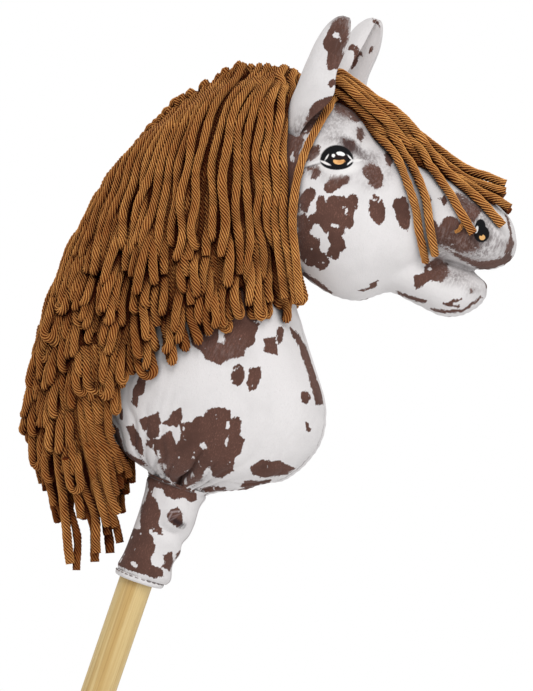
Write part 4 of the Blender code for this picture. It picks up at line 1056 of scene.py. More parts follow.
class Mane:
    """Paths of the yarns on one side, laid in rows like shingles.

    Of a place on it, s counts the parting lines from the front and t is the share of the way down."""

    # How far down the long top yarns, the looped ends and the hanging yarns reach, for each parting line
    LONG_ENDS = (0.93, 0.80, 0.58, 0.61, 0.53, 0.42, 0.37, 0.39, 0.54, 0.70)
    LOOP_ENDS = (0.93, 0.93, 0.91, 0.955, 0.895, 0.83, 0.87, 0.85, 0.89, 0.96)
    HANG_ENDS = (1, 1, 1, 1, 1, 1.01, 1.03, 1.02, 1.0, 1.01)
    # How far each line's root, middle and tip lie inside the outline of the modelled locks (mm)
    TUCK = ((0, 0, 0), (0.5, 0, 0), (2, 1, 0), (5.5, 2, 0), (9, 4.5, 0),
            (9, 6.5, 1), (10.5, 7.5, 2), (11.5, 8.5, 2), (10.5, 10, 3), (9.5, 10, 5))
    # How far below that the yarns come out of the seam, along the crest (mm)
    CREST_TUCK = (3.6, 1.4, 2.4, 3.6, 3.6, 3.6)

    # Yarns in each layer, from below
    HANGING = 20
    LINING = 14
    LOOSE = 4
    FRINGE = 14
    BACK = 10
    ACROSS = 23
    SECOND_LAYER = 27

    SEAM = 0.02             # a yarn that starts above this t is sewn into the seam
    ROOT_DEPTH = 0.0085     # how deep in the seam
    ROW_STEP = 0.0046       # how much one row of yarns lifts the next
    SPACING = 0.0040        # between the points of a path
    SWEEP = 0.012           # how far the top yarns run back along the crest before they fall
    RIPPLE = 0.0007         # how far a yarn rises and sinks
    LOOP_SINK = 0.0052      # how far a looped yarn starts below its row

    # Turned ends: angle from the neck's side (radians), radius, length of the part that goes back, and how
    # much it sinks
    TURNS = {'loop': ((0.10, 0.70), (0.0028, 0.0033), (0.012, 0.020), 0.0011),
             'wide': ((1.0, 1.45), (0.0034, 0.0044), (0.020, 0.030), 0.0006)}
    TURN_STEPS = 7
    BACK_STEPS = 5
    # The plies open out in the turn
    TURN_WIDTHS = np.array((1.03, 1.06, 1.08, 1.08, 1.08, 1.06, 1.03))
    ENDINGS = ('loop', 'loop', 'loop', 'loop', 'wide', 'cut')
    SECOND_ENDINGS = ('loop', 'loop', 'loop', 'cut')

    def __init__(self, side, partings, envelope, floor, seed):
        self.side = side
        self.partings = [[on_neck(point) for point in line] for line in partings]
        self.last = len(partings) - 1
        for index, (line, tuck) in enumerate(zip(self.partings, self.TUCK)):
            line[:] = [point + self.inward(index) * depth / 1000 for point, depth in zip(line, tuck)]
        self.envelope = envelope
        self.floor = floor
        self.chance = np.random.default_rng(seed)
        self.radius = settings().yarn_thickness / 2
        self.strands = []

    def inward(self, s):
        """The way from the crest into the neck."""
        angle = 1.5 * (1 - min(max(s / self.last, 0), 1))
        return Vector((math.cos(angle), 0, -math.sin(angle)))

    def fall(self, s, t):
        """A point of the middle plane, s across the mane and t down it."""
        s = min(s, self.last)
        index = min(max(int(s), 0), self.last - 1)
        spots = []
        for root, middle, tip in self.partings[index:index + 2]:
            control = middle * 2 - (root + tip) / 2
            spots.append(root * (1 - t) ** 2 + control * 2 * t * (1 - t) + tip * t ** 2)
        return spots[0].lerp(spots[1], s - index)

    def drop(self, s):
        """Length of the fall there."""
        return sum((self.fall(s, (k + 1) / 8) - self.fall(s, k / 8)).length for k in range(8))

    def share_at(self, table, s):
        places = np.linspace(0, self.last, len(table))
        return float(np.interp(s, places, table))

    def row_end(self, s, row):
        """How far down the yarns of a row reach; row 0 is the long top layer."""
        return self.share_at(self.LONG_ENDS, s) + row * settings().row_gap / self.drop(s)

    def depth(self, s, t, row):
        """How much yarn lies over a row there."""
        return sum(eased(self.row_end(s, above) - t, -0.02, 0.09) for above in range(row)) * self.ROW_STEP

    def sweep(self, s):
        """The yarn's run back along the crest, in parting lines."""
        line = (self.fall(s - 0.3, 0) - self.fall(s + 0.3, 0)).length
        return self.SWEEP / line * 0.6 * eased(s / self.last, 0.0, 0.14)

    def add(self, s, start, end, row, ending, wave=0.0011, swing=0.0, under=0.0, within=0.1):
        """One yarn, from start to end down the mane. It waves, swings aside at its tip and may lie deeper."""
        chance = self.chance
        sewn, between = start < self.SEAM, start > self.SEAM
        length = self.drop(s) * (end - start)
        count = max(8, int(length / self.SPACING))
        phase = chance.uniform(0, 6.28, 4)
        bend = chance.uniform(0.040, 0.085)
        looped = row > 0 and ending != 'cut'
        lift = chance.uniform(0.0005, 0.0072) if looped else 0.0
        sunk = chance.uniform(-0.0008, 0.0036) if row == 0 else self.LOOP_SINK * looped
        sweep = self.sweep(s) if sewn else 0.0
        path = []
        for step in range(count):
            share = step / (count - 1)
            t = start + (end - start) * share
            run = share * length
            late = eased(share, 0.30, 1.0)
            spot = self.fall(s - sweep * (1 - eased(run, 0.0, 0.05)), t)
            ahead = (self.fall(s, t + 0.02) - self.fall(s, t - 0.02)).normalized()
            sideways = Vector((ahead.z, 0, -ahead.x))
            drift = wave * min(1, run / 0.03) * math.sin(run / bend * 2 * math.pi + phase[0]) + swing * late
            spot = spot + sideways * drift
            if between:
                spot = spot + self.inward(s) * self.ROOT_DEPTH * eased(s / self.last, 0.35, 0.85) * eased(
                    -run, -0.045, 0)
            floor = self.floor.at(spot.x, spot.z) + self.radius
            out = self.envelope.at(spot.x, spot.z) - self.radius * 0.9 - self.depth(s, t, row)
            out += self.RIPPLE * math.sin(run / 0.05 * 2 * math.pi + phase[2]) + lift * late
            out -= (sunk * (1 - late) if row else sunk) + under
            out = min(max(out, floor), within)
            if sewn:
                out = out * eased(t, -0.012, 0.11) + self.radius * 0.35
            path.append(Vector((spot.x, self.side * out, spot.z)))
        if sewn:
            # It comes out of the seam, over its neighbours from the other side
            crest = path[0] + self.inward(s) * self.share_at(self.CREST_TUCK, s) / 1000
            path[:1] = [crest + self.inward(s) * self.ROOT_DEPTH, crest + self.inward(s) * 0.0035, crest]
        self.finish_end(path, ending)
        widths = np.full(len(path), chance.uniform(0.92, 1.08))
        if ending != 'cut':
            first = len(path) - self.BACK_STEPS - self.TURN_STEPS + 1
            widths[first:first + self.TURN_STEPS] *= self.TURN_WIDTHS
        elif row < 3:
            widths[-1] *= 0.80
        if between:
            widths[0] *= 0.5
        # Random tone, and painted shade: lower rows are darker, most of all the yarns that hang furthest back
        tone = chance.uniform(0.0, 0.42)
        tone += 0.24 + 90 * under if row >= 3 and ending == 'cut' else 0.06 * min(row, 4)
        self.strands.append((path, widths, tone))

    def finish_end(self, path, ending):
        """Turns the end back under itself as a loop, or leaves it cut."""
        if ending == 'cut':
            return
        chance = self.chance
        travel = (path[-1] - path[-2]).normalized()
        outward = Vector((0, self.side, 0))
        lateral = travel.cross(outward).normalized()
        # A wide turn draws its numbers after a plain one's
        kinds = ('loop', 'wide') if ending == 'wide' else ('loop',)
        for kind in kinds:
            angles, radii, backs, sink = self.TURNS[kind]
            angle = chance.choice((-1, 1)) * chance.uniform(*angles)
            radius = chance.uniform(*radii)
        turn = (-outward * math.cos(angle) + lateral * math.sin(angle)).normalized()
        foot = path[-1]
        for step in range(self.TURN_STEPS):
            a = math.pi * (step + 1) / self.TURN_STEPS
            path.append(foot + travel * radius * 1.25 * math.sin(a) + turn * radius * (1 - math.cos(a)))
        for kind in kinds:
            back = chance.uniform(*self.TURNS[kind][2])
        for _ in range(self.BACK_STEPS):
            path.append(path[-1] - travel * back / self.BACK_STEPS - turn * 0.0002 - outward * sink)

    def lay(self):
        """The yarns from the lowest layer to the top one."""
        self.lay_hanging()
        self.lay_fringe()
        self.lay_back()
        looped = max(self.drop(s) * (self.share_at(self.LOOP_ENDS, s) - self.share_at(self.LONG_ENDS, s))
                     for s in range(self.last))
        for row in range(1 + int(looped / settings().row_gap), 1, -1):
            self.lay_row(row)
        self.lay_top()
        return self.strands

    def lay_hanging(self):
        """The long yarns under all the others, the lining above them and a few loose ones."""
        chance, last = self.chance, self.last
        for number in range(self.HANGING):
            s = last * (0.555 + 0.395 * number / (self.HANGING - 1)) + chance.uniform(-0.06, 0.06)
            layer = 6 if s < last * 0.64 else 4
            end = self.share_at(self.HANG_ENDS, s) + chance.uniform(-0.09, 0.02)
            self.add(s, 0.30, end, layer, 'cut', wave=0.0018, under=0.0058 * (number % 2),
                     swing=0.003 * bell(s, 0.62 * last, 0.10 * last))
        for number in range(self.LINING):
            s = last * (number + 0.5) / self.LINING * 0.6
            self.add(s, self.SEAM, 0.80, 5, 'cut')
        for number in range(self.LOOSE):
            s = last * (0.540 + 0.034 * number)
            self.add(s, 0.50, 1 + chance.uniform(-0.04, 0.01), 6, 'cut', wave=0.0006,
                     swing=0.0062 - 0.0012 * number)

    def lay_fringe(self):
        """Short loops along the mane's lower edge."""
        chance, last = self.chance, self.last
        for number in range(self.FRINGE):
            s = last * 0.52 * (number + 0.5) / self.FRINGE + chance.uniform(-0.1, 0.1)
            end = self.share_at(self.LOOP_ENDS, s) + chance.uniform(-0.035, 0.010)
            self.add(s, end - 0.055 / self.drop(s), end, 4, 'loop', swing=chance.normal(0, 0.002))

    def lay_back(self):
        """Down the back, below the lowest stitches, both sides close over the middle."""
        chance, last = self.chance, self.last
        for number in range(self.BACK):
            s = last * (0.985 - 0.011 * number)
            end = self.share_at(self.HANG_ENDS, s) - chance.uniform(0.02, 0.16)
            self.add(s, 0.03, end, 1, 'cut', within=self.radius * (0.35, 2.2, 4.0)[number % 3])

    def lay_row(self, row):
        """One row of looped ends between the hanging yarns and the top."""
        chance, last = self.chance, self.last
        for number in range(self.ACROSS):
            s = last * (number + (0.25 if row % 2 else 0.75)) / self.ACROSS + chance.uniform(-0.14, 0.14)
            s = min(max(s, -0.15), last - 0.42)
            end = self.row_end(s, row) + chance.uniform(-0.030, 0.030)
            if end > self.share_at(self.LOOP_ENDS, s) + 0.02:
                continue
            span = chance.uniform(0.050, 0.066) / self.drop(s)
            kind = chance.choice(self.ENDINGS)
            sway = chance.normal(0, 0.0034)
            if s > last - 0.9:
                kind, sway = 'loop', 0.0
            self.add(s, end - span, end, row, kind, swing=sway)

    def lay_top(self):
        """The second layer and the long yarns over it."""
        chance, last = self.chance, self.last
        for number in range(self.SECOND_LAYER):
            s = last * (number + 0.9) / self.SECOND_LAYER - 0.1 + chance.uniform(-0.08, 0.08)
            end = self.row_end(s, 1) + chance.uniform(-0.04, 0.03)
            self.add(s, 0.06, end, 1, chance.choice(self.SECOND_ENDINGS), swing=chance.normal(0, 0.0016))
        count = settings().top_yarns
        for number in range(count):
            s = (last + 0.10) * (number + 0.5) / count - 0.22 + chance.uniform(-0.07, 0.07)
            end = self.row_end(s, 0) + chance.uniform(-0.07, 0.05)
            kind = chance.choice(self.ENDINGS)
            self.add(s, 0.0, end, 0, kind, wave=0.0013, swing=chance.normal(0, 0.0018))


def spread_apart(strands, distance, rounds):
    """Pushes yarns apart where they run through each other, bending them softly."""
    points = np.array([point for path, *_ in strands for point in path])
    owner = np.array([index for index, (path, *_) in enumerate(strands) for _ in path])
    order = np.array([step for path, *_ in strands for step in range(len(path))])
    ends = np.array([len(path) - 1 for path, *_ in strands for _ in path])
    rows = np.nonzero((order > 0) & (order < ends))[0]
    tips = np.nonzero((order == ends) & (ends > 0))[0]
    for _ in range(rounds):
        tree = KDTree(len(points))
        for index, point in enumerate(points):
            tree.insert(point, index)
        tree.balance()
        push = np.zeros_like(points)
        weight = np.zeros(len(points))
        for index, point in enumerate(points):
            for spot, other, gap in tree.find_range(point, distance):
                if other <= index or owner[other] == owner[index]:
                    continue
                away = np.array(point) - np.array(spot)
                step = away / max(gap, 1e-5) * (distance - gap) * 0.5
                push[index] += step
                push[other] -= step
                weight[index] += 1
                weight[other] += 1
        moved = push / np.maximum(weight, 1)[:, None]
        moved[order == 0] = 0
        # Neighbours along a yarn share a push, so that it bends softly
        for _ in range(8):
            soft = moved.copy()
            soft[rows] = (moved[rows - 1] + 2 * moved[rows] + moved[rows + 1]) / 4
            soft[tips] = (moved[tips - 1] + moved[tips]) / 2
            moved = soft
        points = points + 1.5 * moved
    result = []
    start = 0
    for path, *rest in strands:
        result.append(([Vector(point) for point in points[start:start + len(path)]], *rest))
        start += len(path)
    return result


def over_surface(route, side, carrier, radius, shift=0.0, hangs=False, stop=1.0, phase=0.0):
    """A yarn that rests on the plush, seen along the given places of the picture plane (mm).

    It may be shifted forwards (mm), hang straight down from where it stands out most, or stop early."""
    path = []
    farthest = 0.0
    for step, (across, up) in enumerate(through(route, 46)[:int(46 * stop)]):
        sway = min(step / 12, 1) * math.sin(step / 4.7 + phase)
        across, up = across + 0.7 * sway, up + 0.5 * sway
        y = 0.03
        for _ in range(4):
            spot = from_picture(across, up, -y)
            reach = 0.0
            for corner in range(8):
                turn = math.pi * corner / 4
                probe = Vector((spot.x + 0.7 * radius * math.cos(turn), -1,
                                spot.z + 0.7 * radius * math.sin(turn)))
                hit = carrier.ray_cast(probe, Vector((0, 1, 0)))[0]
                if hit is not None:
                    reach = max(reach, -hit.y)
            y = reach + radius
        if hangs:
            farthest = max(farthest, y)
            y = farthest
        spot = from_picture(across, up, -y)
        path.append([spot.x + shift / 1000, y, spot.z])
    # It spans the hollows
    for _ in range(30):
        for index in range(1, len(path) - 1):
            path[index][1] = max(path[index][1], (path[index - 1][1] + path[index + 1][1]) / 2)
    return [Vector((x, side * y, z)) for x, y, z in path]


def in_lengths(strands, most):
    """Groups of neighbouring strands, each group up to the given length of yarn."""
    groups, total = [[]], 0.0
    for strand in strands:
        path = strand[0]
        length = sum((b - a).length for a, b in zip(path, path[1:]))
        if total + length > most and groups[-1]:
            groups.append([])
            total = 0.0
        groups[-1].append(strand)
        total += length
    return groups


def off_the_skin(strands, tree, radius):
    """Moves the paths' points out of the plush, so that the yarns rest on it."""
    for path, *_ in strands:
        for index, point in enumerate(path):
            for _ in range(3):
                spot, normal, _, gap = tree.find_nearest(point)
                inside = (point - spot).dot(normal) < 0
                if inside:
                    point = spot + normal * radius
                elif gap < radius:
                    point = spot + (point - spot).normalized() * radius
            path[index] = point
    return strands


# Pieces

class HORSE_OT_plush_skin(Operator):
    """Sews the printed plush over neck, head and jaw"""
    bl_idname = "hobby_horse.plush_skin"
    bl_label = "Plush skin"

    # Share of the way to the neighbours' middle, and rounds: everywhere, and where two forms meet
    SOFTENING = (0.22, 3)
    WELDING = (0.5, 24)
    MOUTH = (0.142, HEAD_LEVEL - 0.015)
    # Folds round the waist: count, phase, sharpness and depth
    FOLDS = ((11, 0.4, 3.0, 1.0), (7, 2.1, 5.0, 1.1), (17, 1.3, 4.0, 0.7))
    # Middle and half sizes of the brow
    BROW = ((0.036, 0, 0.915), (0.017, 0.035, 0.017))

    def execute(self, context):
        forms = stuffed_forms()
        bm = bmesh.new()
        for form in forms:
            bm.from_mesh(form)
        skin = place_object("plush_skin", finished_mesh(bm, "plush_skin"))
        remesh = skin.modifiers.new("one skin", 'REMESH')
        remesh.mode = 'VOXEL'
        remesh.voxel_size = settings().skin_cell
        settled(skin)
        mesh = skin.data
        points = points_of(mesh)
        edges = read(mesh.edges, "vertices", 2, int)
        # Where two forms meet, the cloth runs from one to the other in a soft fillet, but not at the mouth
        trees = [joined_tree([form]) for form in forms]
        gaps = np.array([[tree.find_nearest(Vector(point))[3] for tree in trees] for point in points])
        second = np.sort(gaps, axis=1)[:, 1]
        mouth = np.linalg.norm(points[:, (0, 2)] - self.MOUTH, axis=1)
        weld = (1 - ease(second, 0.002, 0.011)) * ease(mouth, 0.012, 0.035)
        share, rounds = self.SOFTENING
        points = self.relax(points, edges, share, rounds)
        share, rounds = self.WELDING
        points = self.relax(points, edges, weld[:, None] * share, rounds)
        give_points(mesh, points)
        normals = read(mesh.vertex_normals, "vector", 3, np.float32).astype(float)
        give_points(mesh, points + normals * self.relief(points)[:, None])
        lay_out_coat(mesh, COAT_PATCHES)
        dressed(skin, (
            "neck_panel_right", "neck_panel_left", "neck_filling", "head_panel_right",
            "head_panel_left", "head_filling", "jaw_cover", "jaw_filling"), "printed_plush")
        return {'FINISHED'}

    @staticmethod
    def relax(points, edges, share, rounds):
        """Draws each point towards its neighbours' middle."""
        count = np.bincount(edges.ravel(), minlength=len(points)).astype(float)
        for _ in range(rounds):
            total = np.zeros_like(points)
            for axis in range(3):
                total[:, axis] = (np.bincount(edges[:, 0], points[edges[:, 1], axis], len(points))
                                  + np.bincount(edges[:, 1], points[edges[:, 0], axis], len(points)))
            points = points + share * (total / np.maximum(count, 1)[:, None] - points)
        return points

    def relief(self, points):
        """Folds at the waist, seam grooves and soft lumps of filling."""
        x, y, z = points.T
        height = z - WAIST_LEVEL
        turn = np.arctan2(y, x - 0.004)
        drift = 0.35 * lumps(points, 0.03, 5.0)
        folds = np.zeros(len(points))
        for number, (count, phase, sharp, deep) in enumerate(self.FOLDS):
            wave = np.abs(np.sin((turn * count + phase) / 2 + drift * (3 + number)))
            folds += (1 - wave) ** sharp * deep
        fade = np.exp(-np.clip(height, 0, None) / 0.024) * ease(height, -0.006, 0.001)
        relief = -settings().fold_depth * folds * fade
        relief += 0.0009 * fade * lumps(points, 0.012, 2.0)
        # The seam's groove lies between two low swellings; under the mane it is shallow
        crest = (x < 0.02) & (z < HEAD_LEVEL + 0.03)
        groove = np.exp(-(y / 0.0013) ** 2) - 0.5 * np.exp(-((np.abs(y) - 0.004) / 0.0022) ** 2)
        relief -= settings().seam_depth * groove * np.where(crest & (height > 0.05), 0.3, 1.0)
        # Small puckers beside the seams
        pucker = np.sin((x + z) / 0.0075 * 2 * math.pi + 3 * lumps(points, 0.02, 9.0))
        relief += 0.00022 * pucker * np.exp(-((np.abs(y) - 0.003) / 0.004) ** 2)
        # The brow under the forelock is full
        middle, sizes = self.BROW
        brow = ((points - middle) / sizes) ** 2
        relief += 0.0046 * np.exp(-(brow[:, 0] + brow[:, 2] + brow[:, 1]))
        relief += 0.0007 * lumps(points, 0.032, 1.0) + 0.00035 * lumps(points, 0.013, 3.0)
        return relief


class HORSE_OT_ears(Operator):
    """Folds the two padded ears"""
    bl_idname = "hobby_horse.ears"
    bl_label = "Ears"

    ROWS = 44
    COLUMNS = 33
    THICKNESS = 0.0036
    # How far the tip leans forwards, and the height
    LEAN = {RIGHT: EAR_LEAN, LEFT: EAR_LEAN + 0.0020}
    TALL = {RIGHT: EAR_HEIGHT, LEFT: 1.06 * EAR_HEIGHT}

    def execute(self, context):
        for word, side in BOTH_SIDES:
            ear = place_object(f"ear_{word}_leaf", self.leaf(side))
            wall = ear.modifiers.new("padding", 'SOLIDIFY')
            wall.thickness = self.THICKNESS
            wall.offset = -1
            wall.use_even_offset = False
            round_edge = ear.modifiers.new("rolled edge", 'BEVEL')
            round_edge.width = 0.0013
            round_edge.segments = 3
            round_edge.limit_method = 'ANGLE'
            round_edge.angle_limit = math.radians(50)
            settled(ear)
            self.colour(ear.data, side)
            dressed(ear, (f"ear_{word}", f"ear_lining_{word}"), "printed_plush")
        return {'FINISHED'}

    def leaf(self, side):
        bm = bmesh.new()
        grid = [[bm.verts.new(self.place(side, *row, 2 * column / (self.COLUMNS - 1) - 1))
                 for column in range(self.COLUMNS)] for row in through(EAR_SHAPE, self.ROWS)]
        for low, high in zip(grid, grid[1:]):
            for index in range(self.COLUMNS - 1):
                corners = (low[index], low[index + 1], high[index + 1], high[index])
                bm.faces.new(corners[::-1] if side == LEFT else corners)
        return finished_mesh(bm, "leaf")

    def place(self, side, height, fold, depth, opening, share):
        """A point of the leaf. The share runs from -1 at the inner edge to 1 at the outer one."""
        depth *= 1 - 0.20 * bell(height, 0.45, 0.30)
        turn = EAR_CURL * share
        deep = depth * (1 - math.cos(turn)) / (1 - math.cos(EAR_CURL))
        if share < 0:
            deep *= 1 - 0.34 * eased(-share, 0.2, 0.9)
        else:
            deep *= 1 + 0.42 * share * bell(height, 0.34, 0.17)
        x = EAR_PLACE + self.LEAN[side] * height + (fold + deep) * EAR_DEPTH
        y = EAR_SPACING / 2 + EAR_SPLAY * height + opening * EAR_WIDTH * math.sin(turn)
        z = HEAD_LEVEL + EAR_SEAT + height * self.TALL[side]
        soft = 0.0006 * noise.noise(Vector((x, y * side, z)) / 0.014)
        pinch = 0.0012 * math.exp(-height / 0.10) * math.sin(share * 9)
        x += (soft + pinch) * math.cos(turn)
        y += (soft + pinch) * math.sin(turn)
        return x, side * y, z

    def colour(self, mesh, side):
        """Patches on the outer side, dark dashes round the tip and grey at the base."""
        patches = EAR_PATCHES if side == RIGHT else FAR_EAR_PATCHES
        lay_out_coat(mesh, patches, EAR_CHIPS, EAR_SPRAY, mirrored=False)
        points = points_of(mesh)
        height = (points[:, 2] - HEAD_LEVEL - EAR_SEAT) / EAR_HEIGHT
        front = points[:, 0] - EAR_PLACE - EAR_LEAN * height
        edge = ease(front, 0.010, 0.019)
        tip = ease(height, 0.84, 1.0)
        base = 1 - ease(height, 0.05, 0.34)
        spray = 0.85 * tip + 0.35 * edge * ease(height, 0.45, 0.8) + 0.9 * base * ease(front, -0.003, 0.006)
        spray = np.clip(spray * (1 if side == RIGHT else 0.1), 0, 1)
        mesh.attributes["spray"].data.foreach_set("value", spray.astype(np.float32))
        keep_marks_off(mesh)


class HORSE_OT_sleeve(Operator):
    """Draws the cloth sleeve over the stick, with its rolled hem and stitches"""
    bl_idname = "hobby_horse.sleeve"
    bl_label = "Sleeve"

    RINGS = 64
    SIDES = 120
    HEM_SIDES = 12
    STITCHES = 26
    CLOTH = 0.0017
    THREAD_TONE = 0.2
    # Over the tack: the cloth's distance from the stick's axis, the bump's size and its height out and inside
    TACK_REACH = 0.0185
    BUMP_SIZE = 0.0066
    BUMP = {0: 0.0050, CLOTH: 0.0045}

    def execute(self, context):
        mesh = mesh_over("sleeve_cloth", self.rings(0) + self.rings(self.CLOTH)[::-1], closed=True)
        sleeve = place_object("sleeve_cloth", mesh)
        lay_out_coat(mesh, SLEEVE_PATCHES, BARE_SPOTS, ())
        keep_marks_off(mesh, left_alone=True)
        dressed(sleeve, ("sleeve",), "printed_plush")
        hem = place_object("hem_roll", mesh_over("hem_roll", self.hem(), closed=True))
        lay_out_coat(hem.data, (), (), ())
        keep_marks_off(hem.data)
        dressed(hem, ("sleeve_hem",), "printed_plush")
        thread = spin_yarn("gathering_thread", self.gathering(), "dark_thread", 3, 0.0008, 0.0024)
        dressed(thread, ("gather_thread",))
        stitches = spin_yarn("hem_stitches", self.stitches(), "dark_thread", 2, 0.0006, 0.003)
        dressed(stitches, ())
        return {'FINISHED'}

    def rings(self, inset):
        """The cloth's outside, or with an inset its inside."""
        rings = []
        for row in through(SLEEVE_SHAPE, self.RINGS):
            share = row[0]
            ring = self.oval(row, HEM_LEVEL + share * SLEEVE_LENGTH, self.SIDES)
            rings.append([self.wrinkled(point, share, inset) for point in ring])
        return rings

    @staticmethod
    def oval(row, level, sides):
        _, back, front, side = row
        return oval_ring(Vector((-(SLEEVE_BORE + back), 0, level)), Vector((SLEEVE_BORE + front, 0, level)),
                         SLEEVE_BORE + side, sides)

    def wrinkled(self, point, share, inset):
        """A point of the plain sleeve moved in or out: folds, the bump over the tack, the thread's pinch."""
        flat = Vector((point.x, point.y, 0))
        out = flat.normalized()
        reach = flat.length
        turn = math.atan2(point.y, point.x)
        loose = min(1.0, max(0.0, (reach - SLEEVE_BORE) / 0.006))
        drift = noise.noise(point / 0.018) * 1.6
        gather = math.exp(-(1 - share) / 0.20)
        fold = 0.0011 * gather * (abs(math.sin(turn * 6 + drift)) - 0.6)
        sag = 0.0009 * loose * math.sin(share * 21 + 2.2 * math.sin(turn) + drift * 1.5)
        foot = 0.0006 * math.exp(-share / 0.10) * math.sin(turn * 9 + drift)
        level = HEM_LEVEL + share * SLEEVE_LENGTH
        above = level - HEM_LEVEL - TACK_HEIGHT
        tack = Vector((math.cos(TACK_TURN), math.sin(TACK_TURN), 0))
        beside = math.acos(max(-1, min(1, out.dot(tack)))) * self.TACK_REACH
        spread = math.hypot(above / self.BUMP_SIZE, beside / self.BUMP_SIZE)
        bump = self.BUMP[inset] * math.exp(-spread ** 4)
        crease = -0.0022 * math.exp(-((above + 0.0078) / 0.0016) ** 2 - (beside / 0.007) ** 2)
        pinch = -0.0012 * bell(level, THREAD_LEVEL, 0.0017)
        floor = SLEEVE_BORE - 0.0001
        length = max(reach + (fold + sag + foot + crease + pinch), floor) + bump - inset
        return out * length + Vector((0, 0, level))

    def hem(self):
        """Rings of the white rolled edge below the sleeve."""
        rings = []
        level = HEM_LEVEL + 0.0022
        for index in range(self.SIDES):
            turn = 2 * math.pi * index / self.SIDES
            out = Vector((math.cos(turn), math.sin(turn), 0))
            wobble = noise.noise(Vector((out.x, out.y, 3)) * 2.2)
            roll = 0.0019 + 0.0003 * wobble
            reach = SLEEVE_BORE + (0.0041 if math.cos(turn) > 0 else 0.0006)
            centre = Vector((reach * math.cos(turn), (SLEEVE_BORE + 0.0021) * math.sin(turn),
                             level + 0.0004 * wobble))
            steps = [2 * math.pi * step / self.HEM_SIDES for step in range(self.HEM_SIDES)]
            rings.append([centre + out * roll * math.cos(a) + Vector((0, 0, 1.15 * roll * math.sin(a)))
                          for a in steps])
        return rings

    def gathering(self):
        """The thread that draws the sleeve's top in."""
        ring = self.oval(through(SLEEVE_SHAPE, self.RINGS)[-3], THREAD_LEVEL, self.SIDES // 2)
        path = [Vector((point.x, point.y, 0)) * 0.965 + Vector((0, 0, THREAD_LEVEL)) for point in ring]
        path = path[1:] + path[:2]
        return [(path, np.ones(len(path)), self.THREAD_TONE)]

    def stitches(self):
        """Thread stitches along the hem, one short twisted stretch each."""
        strands = []
        for index in range(self.STITCHES):
            path = []
            for step in range(4):
                turn = 2 * math.pi * (index + 0.62 * step / 3) / self.STITCHES
                sink = 0.0004 * math.cos(math.pi * (step / 3 * 2 - 1))
                reach = SLEEVE_BORE + (0.0058 if math.cos(turn) > 0 else 0.0024)
                path.append(Vector(((reach + sink) * math.cos(turn),
                                    (SLEEVE_BORE + 0.0040 + sink) * math.sin(turn), HEM_LEVEL + 0.0036)))
            strands.append((path, np.ones(len(path)), self.THREAD_TONE))
        return strands


class HORSE_OT_mane(Operator):
    """Lays the mane's yarns in rows down both sides of the neck"""
    bl_idname = "hobby_horse.mane"
    bl_label = "Mane"

    PARTINGS = {RIGHT: RIGHT_PARTINGS, LEFT: LEFT_PARTINGS}
    SEEDS = {RIGHT: 11, LEFT: 23}
    FRONT_STOPS = {RIGHT: 1.0, LEFT: 0.72}
    PIECE_LENGTH = 6.6

    def execute(self, context):
        carrier = joined_tree(stuffed_forms())
        for word, side in BOTH_SIDES:
            partings = self.PARTINGS[side]
            nodes = [f"mane_{word}_{index + 1}" for index in range(len(partings) - 1)]
            locks = joined_tree([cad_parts[name].data for name in nodes])
            mane = Mane(side, partings, Reach(locks, side, spread=30).smooth(3), Reach(carrier, side),
                        self.SEEDS[side])
            strands = mane.lay()
            for number, route in enumerate(FRONT_YARNS):
                places = [picture_place(pixel) for pixel in route]
                path = over_surface(places, side, carrier, mane.radius, hangs=True,
                                    stop=self.FRONT_STOPS[side], phase=2.0 * number)
                strands.append((path, np.ones(len(path)), 0.1))
            strands = spread_apart(strands, mane.radius * 1.8, 4)
            strands = off_the_skin(strands, carrier, mane.radius * 0.9)
            for number, group in enumerate(in_lengths(strands, self.PIECE_LENGTH)):
                yarn_piece(f"mane_{word}_yarns_{number + 1}", group, nodes)
        return {'FINISHED'}


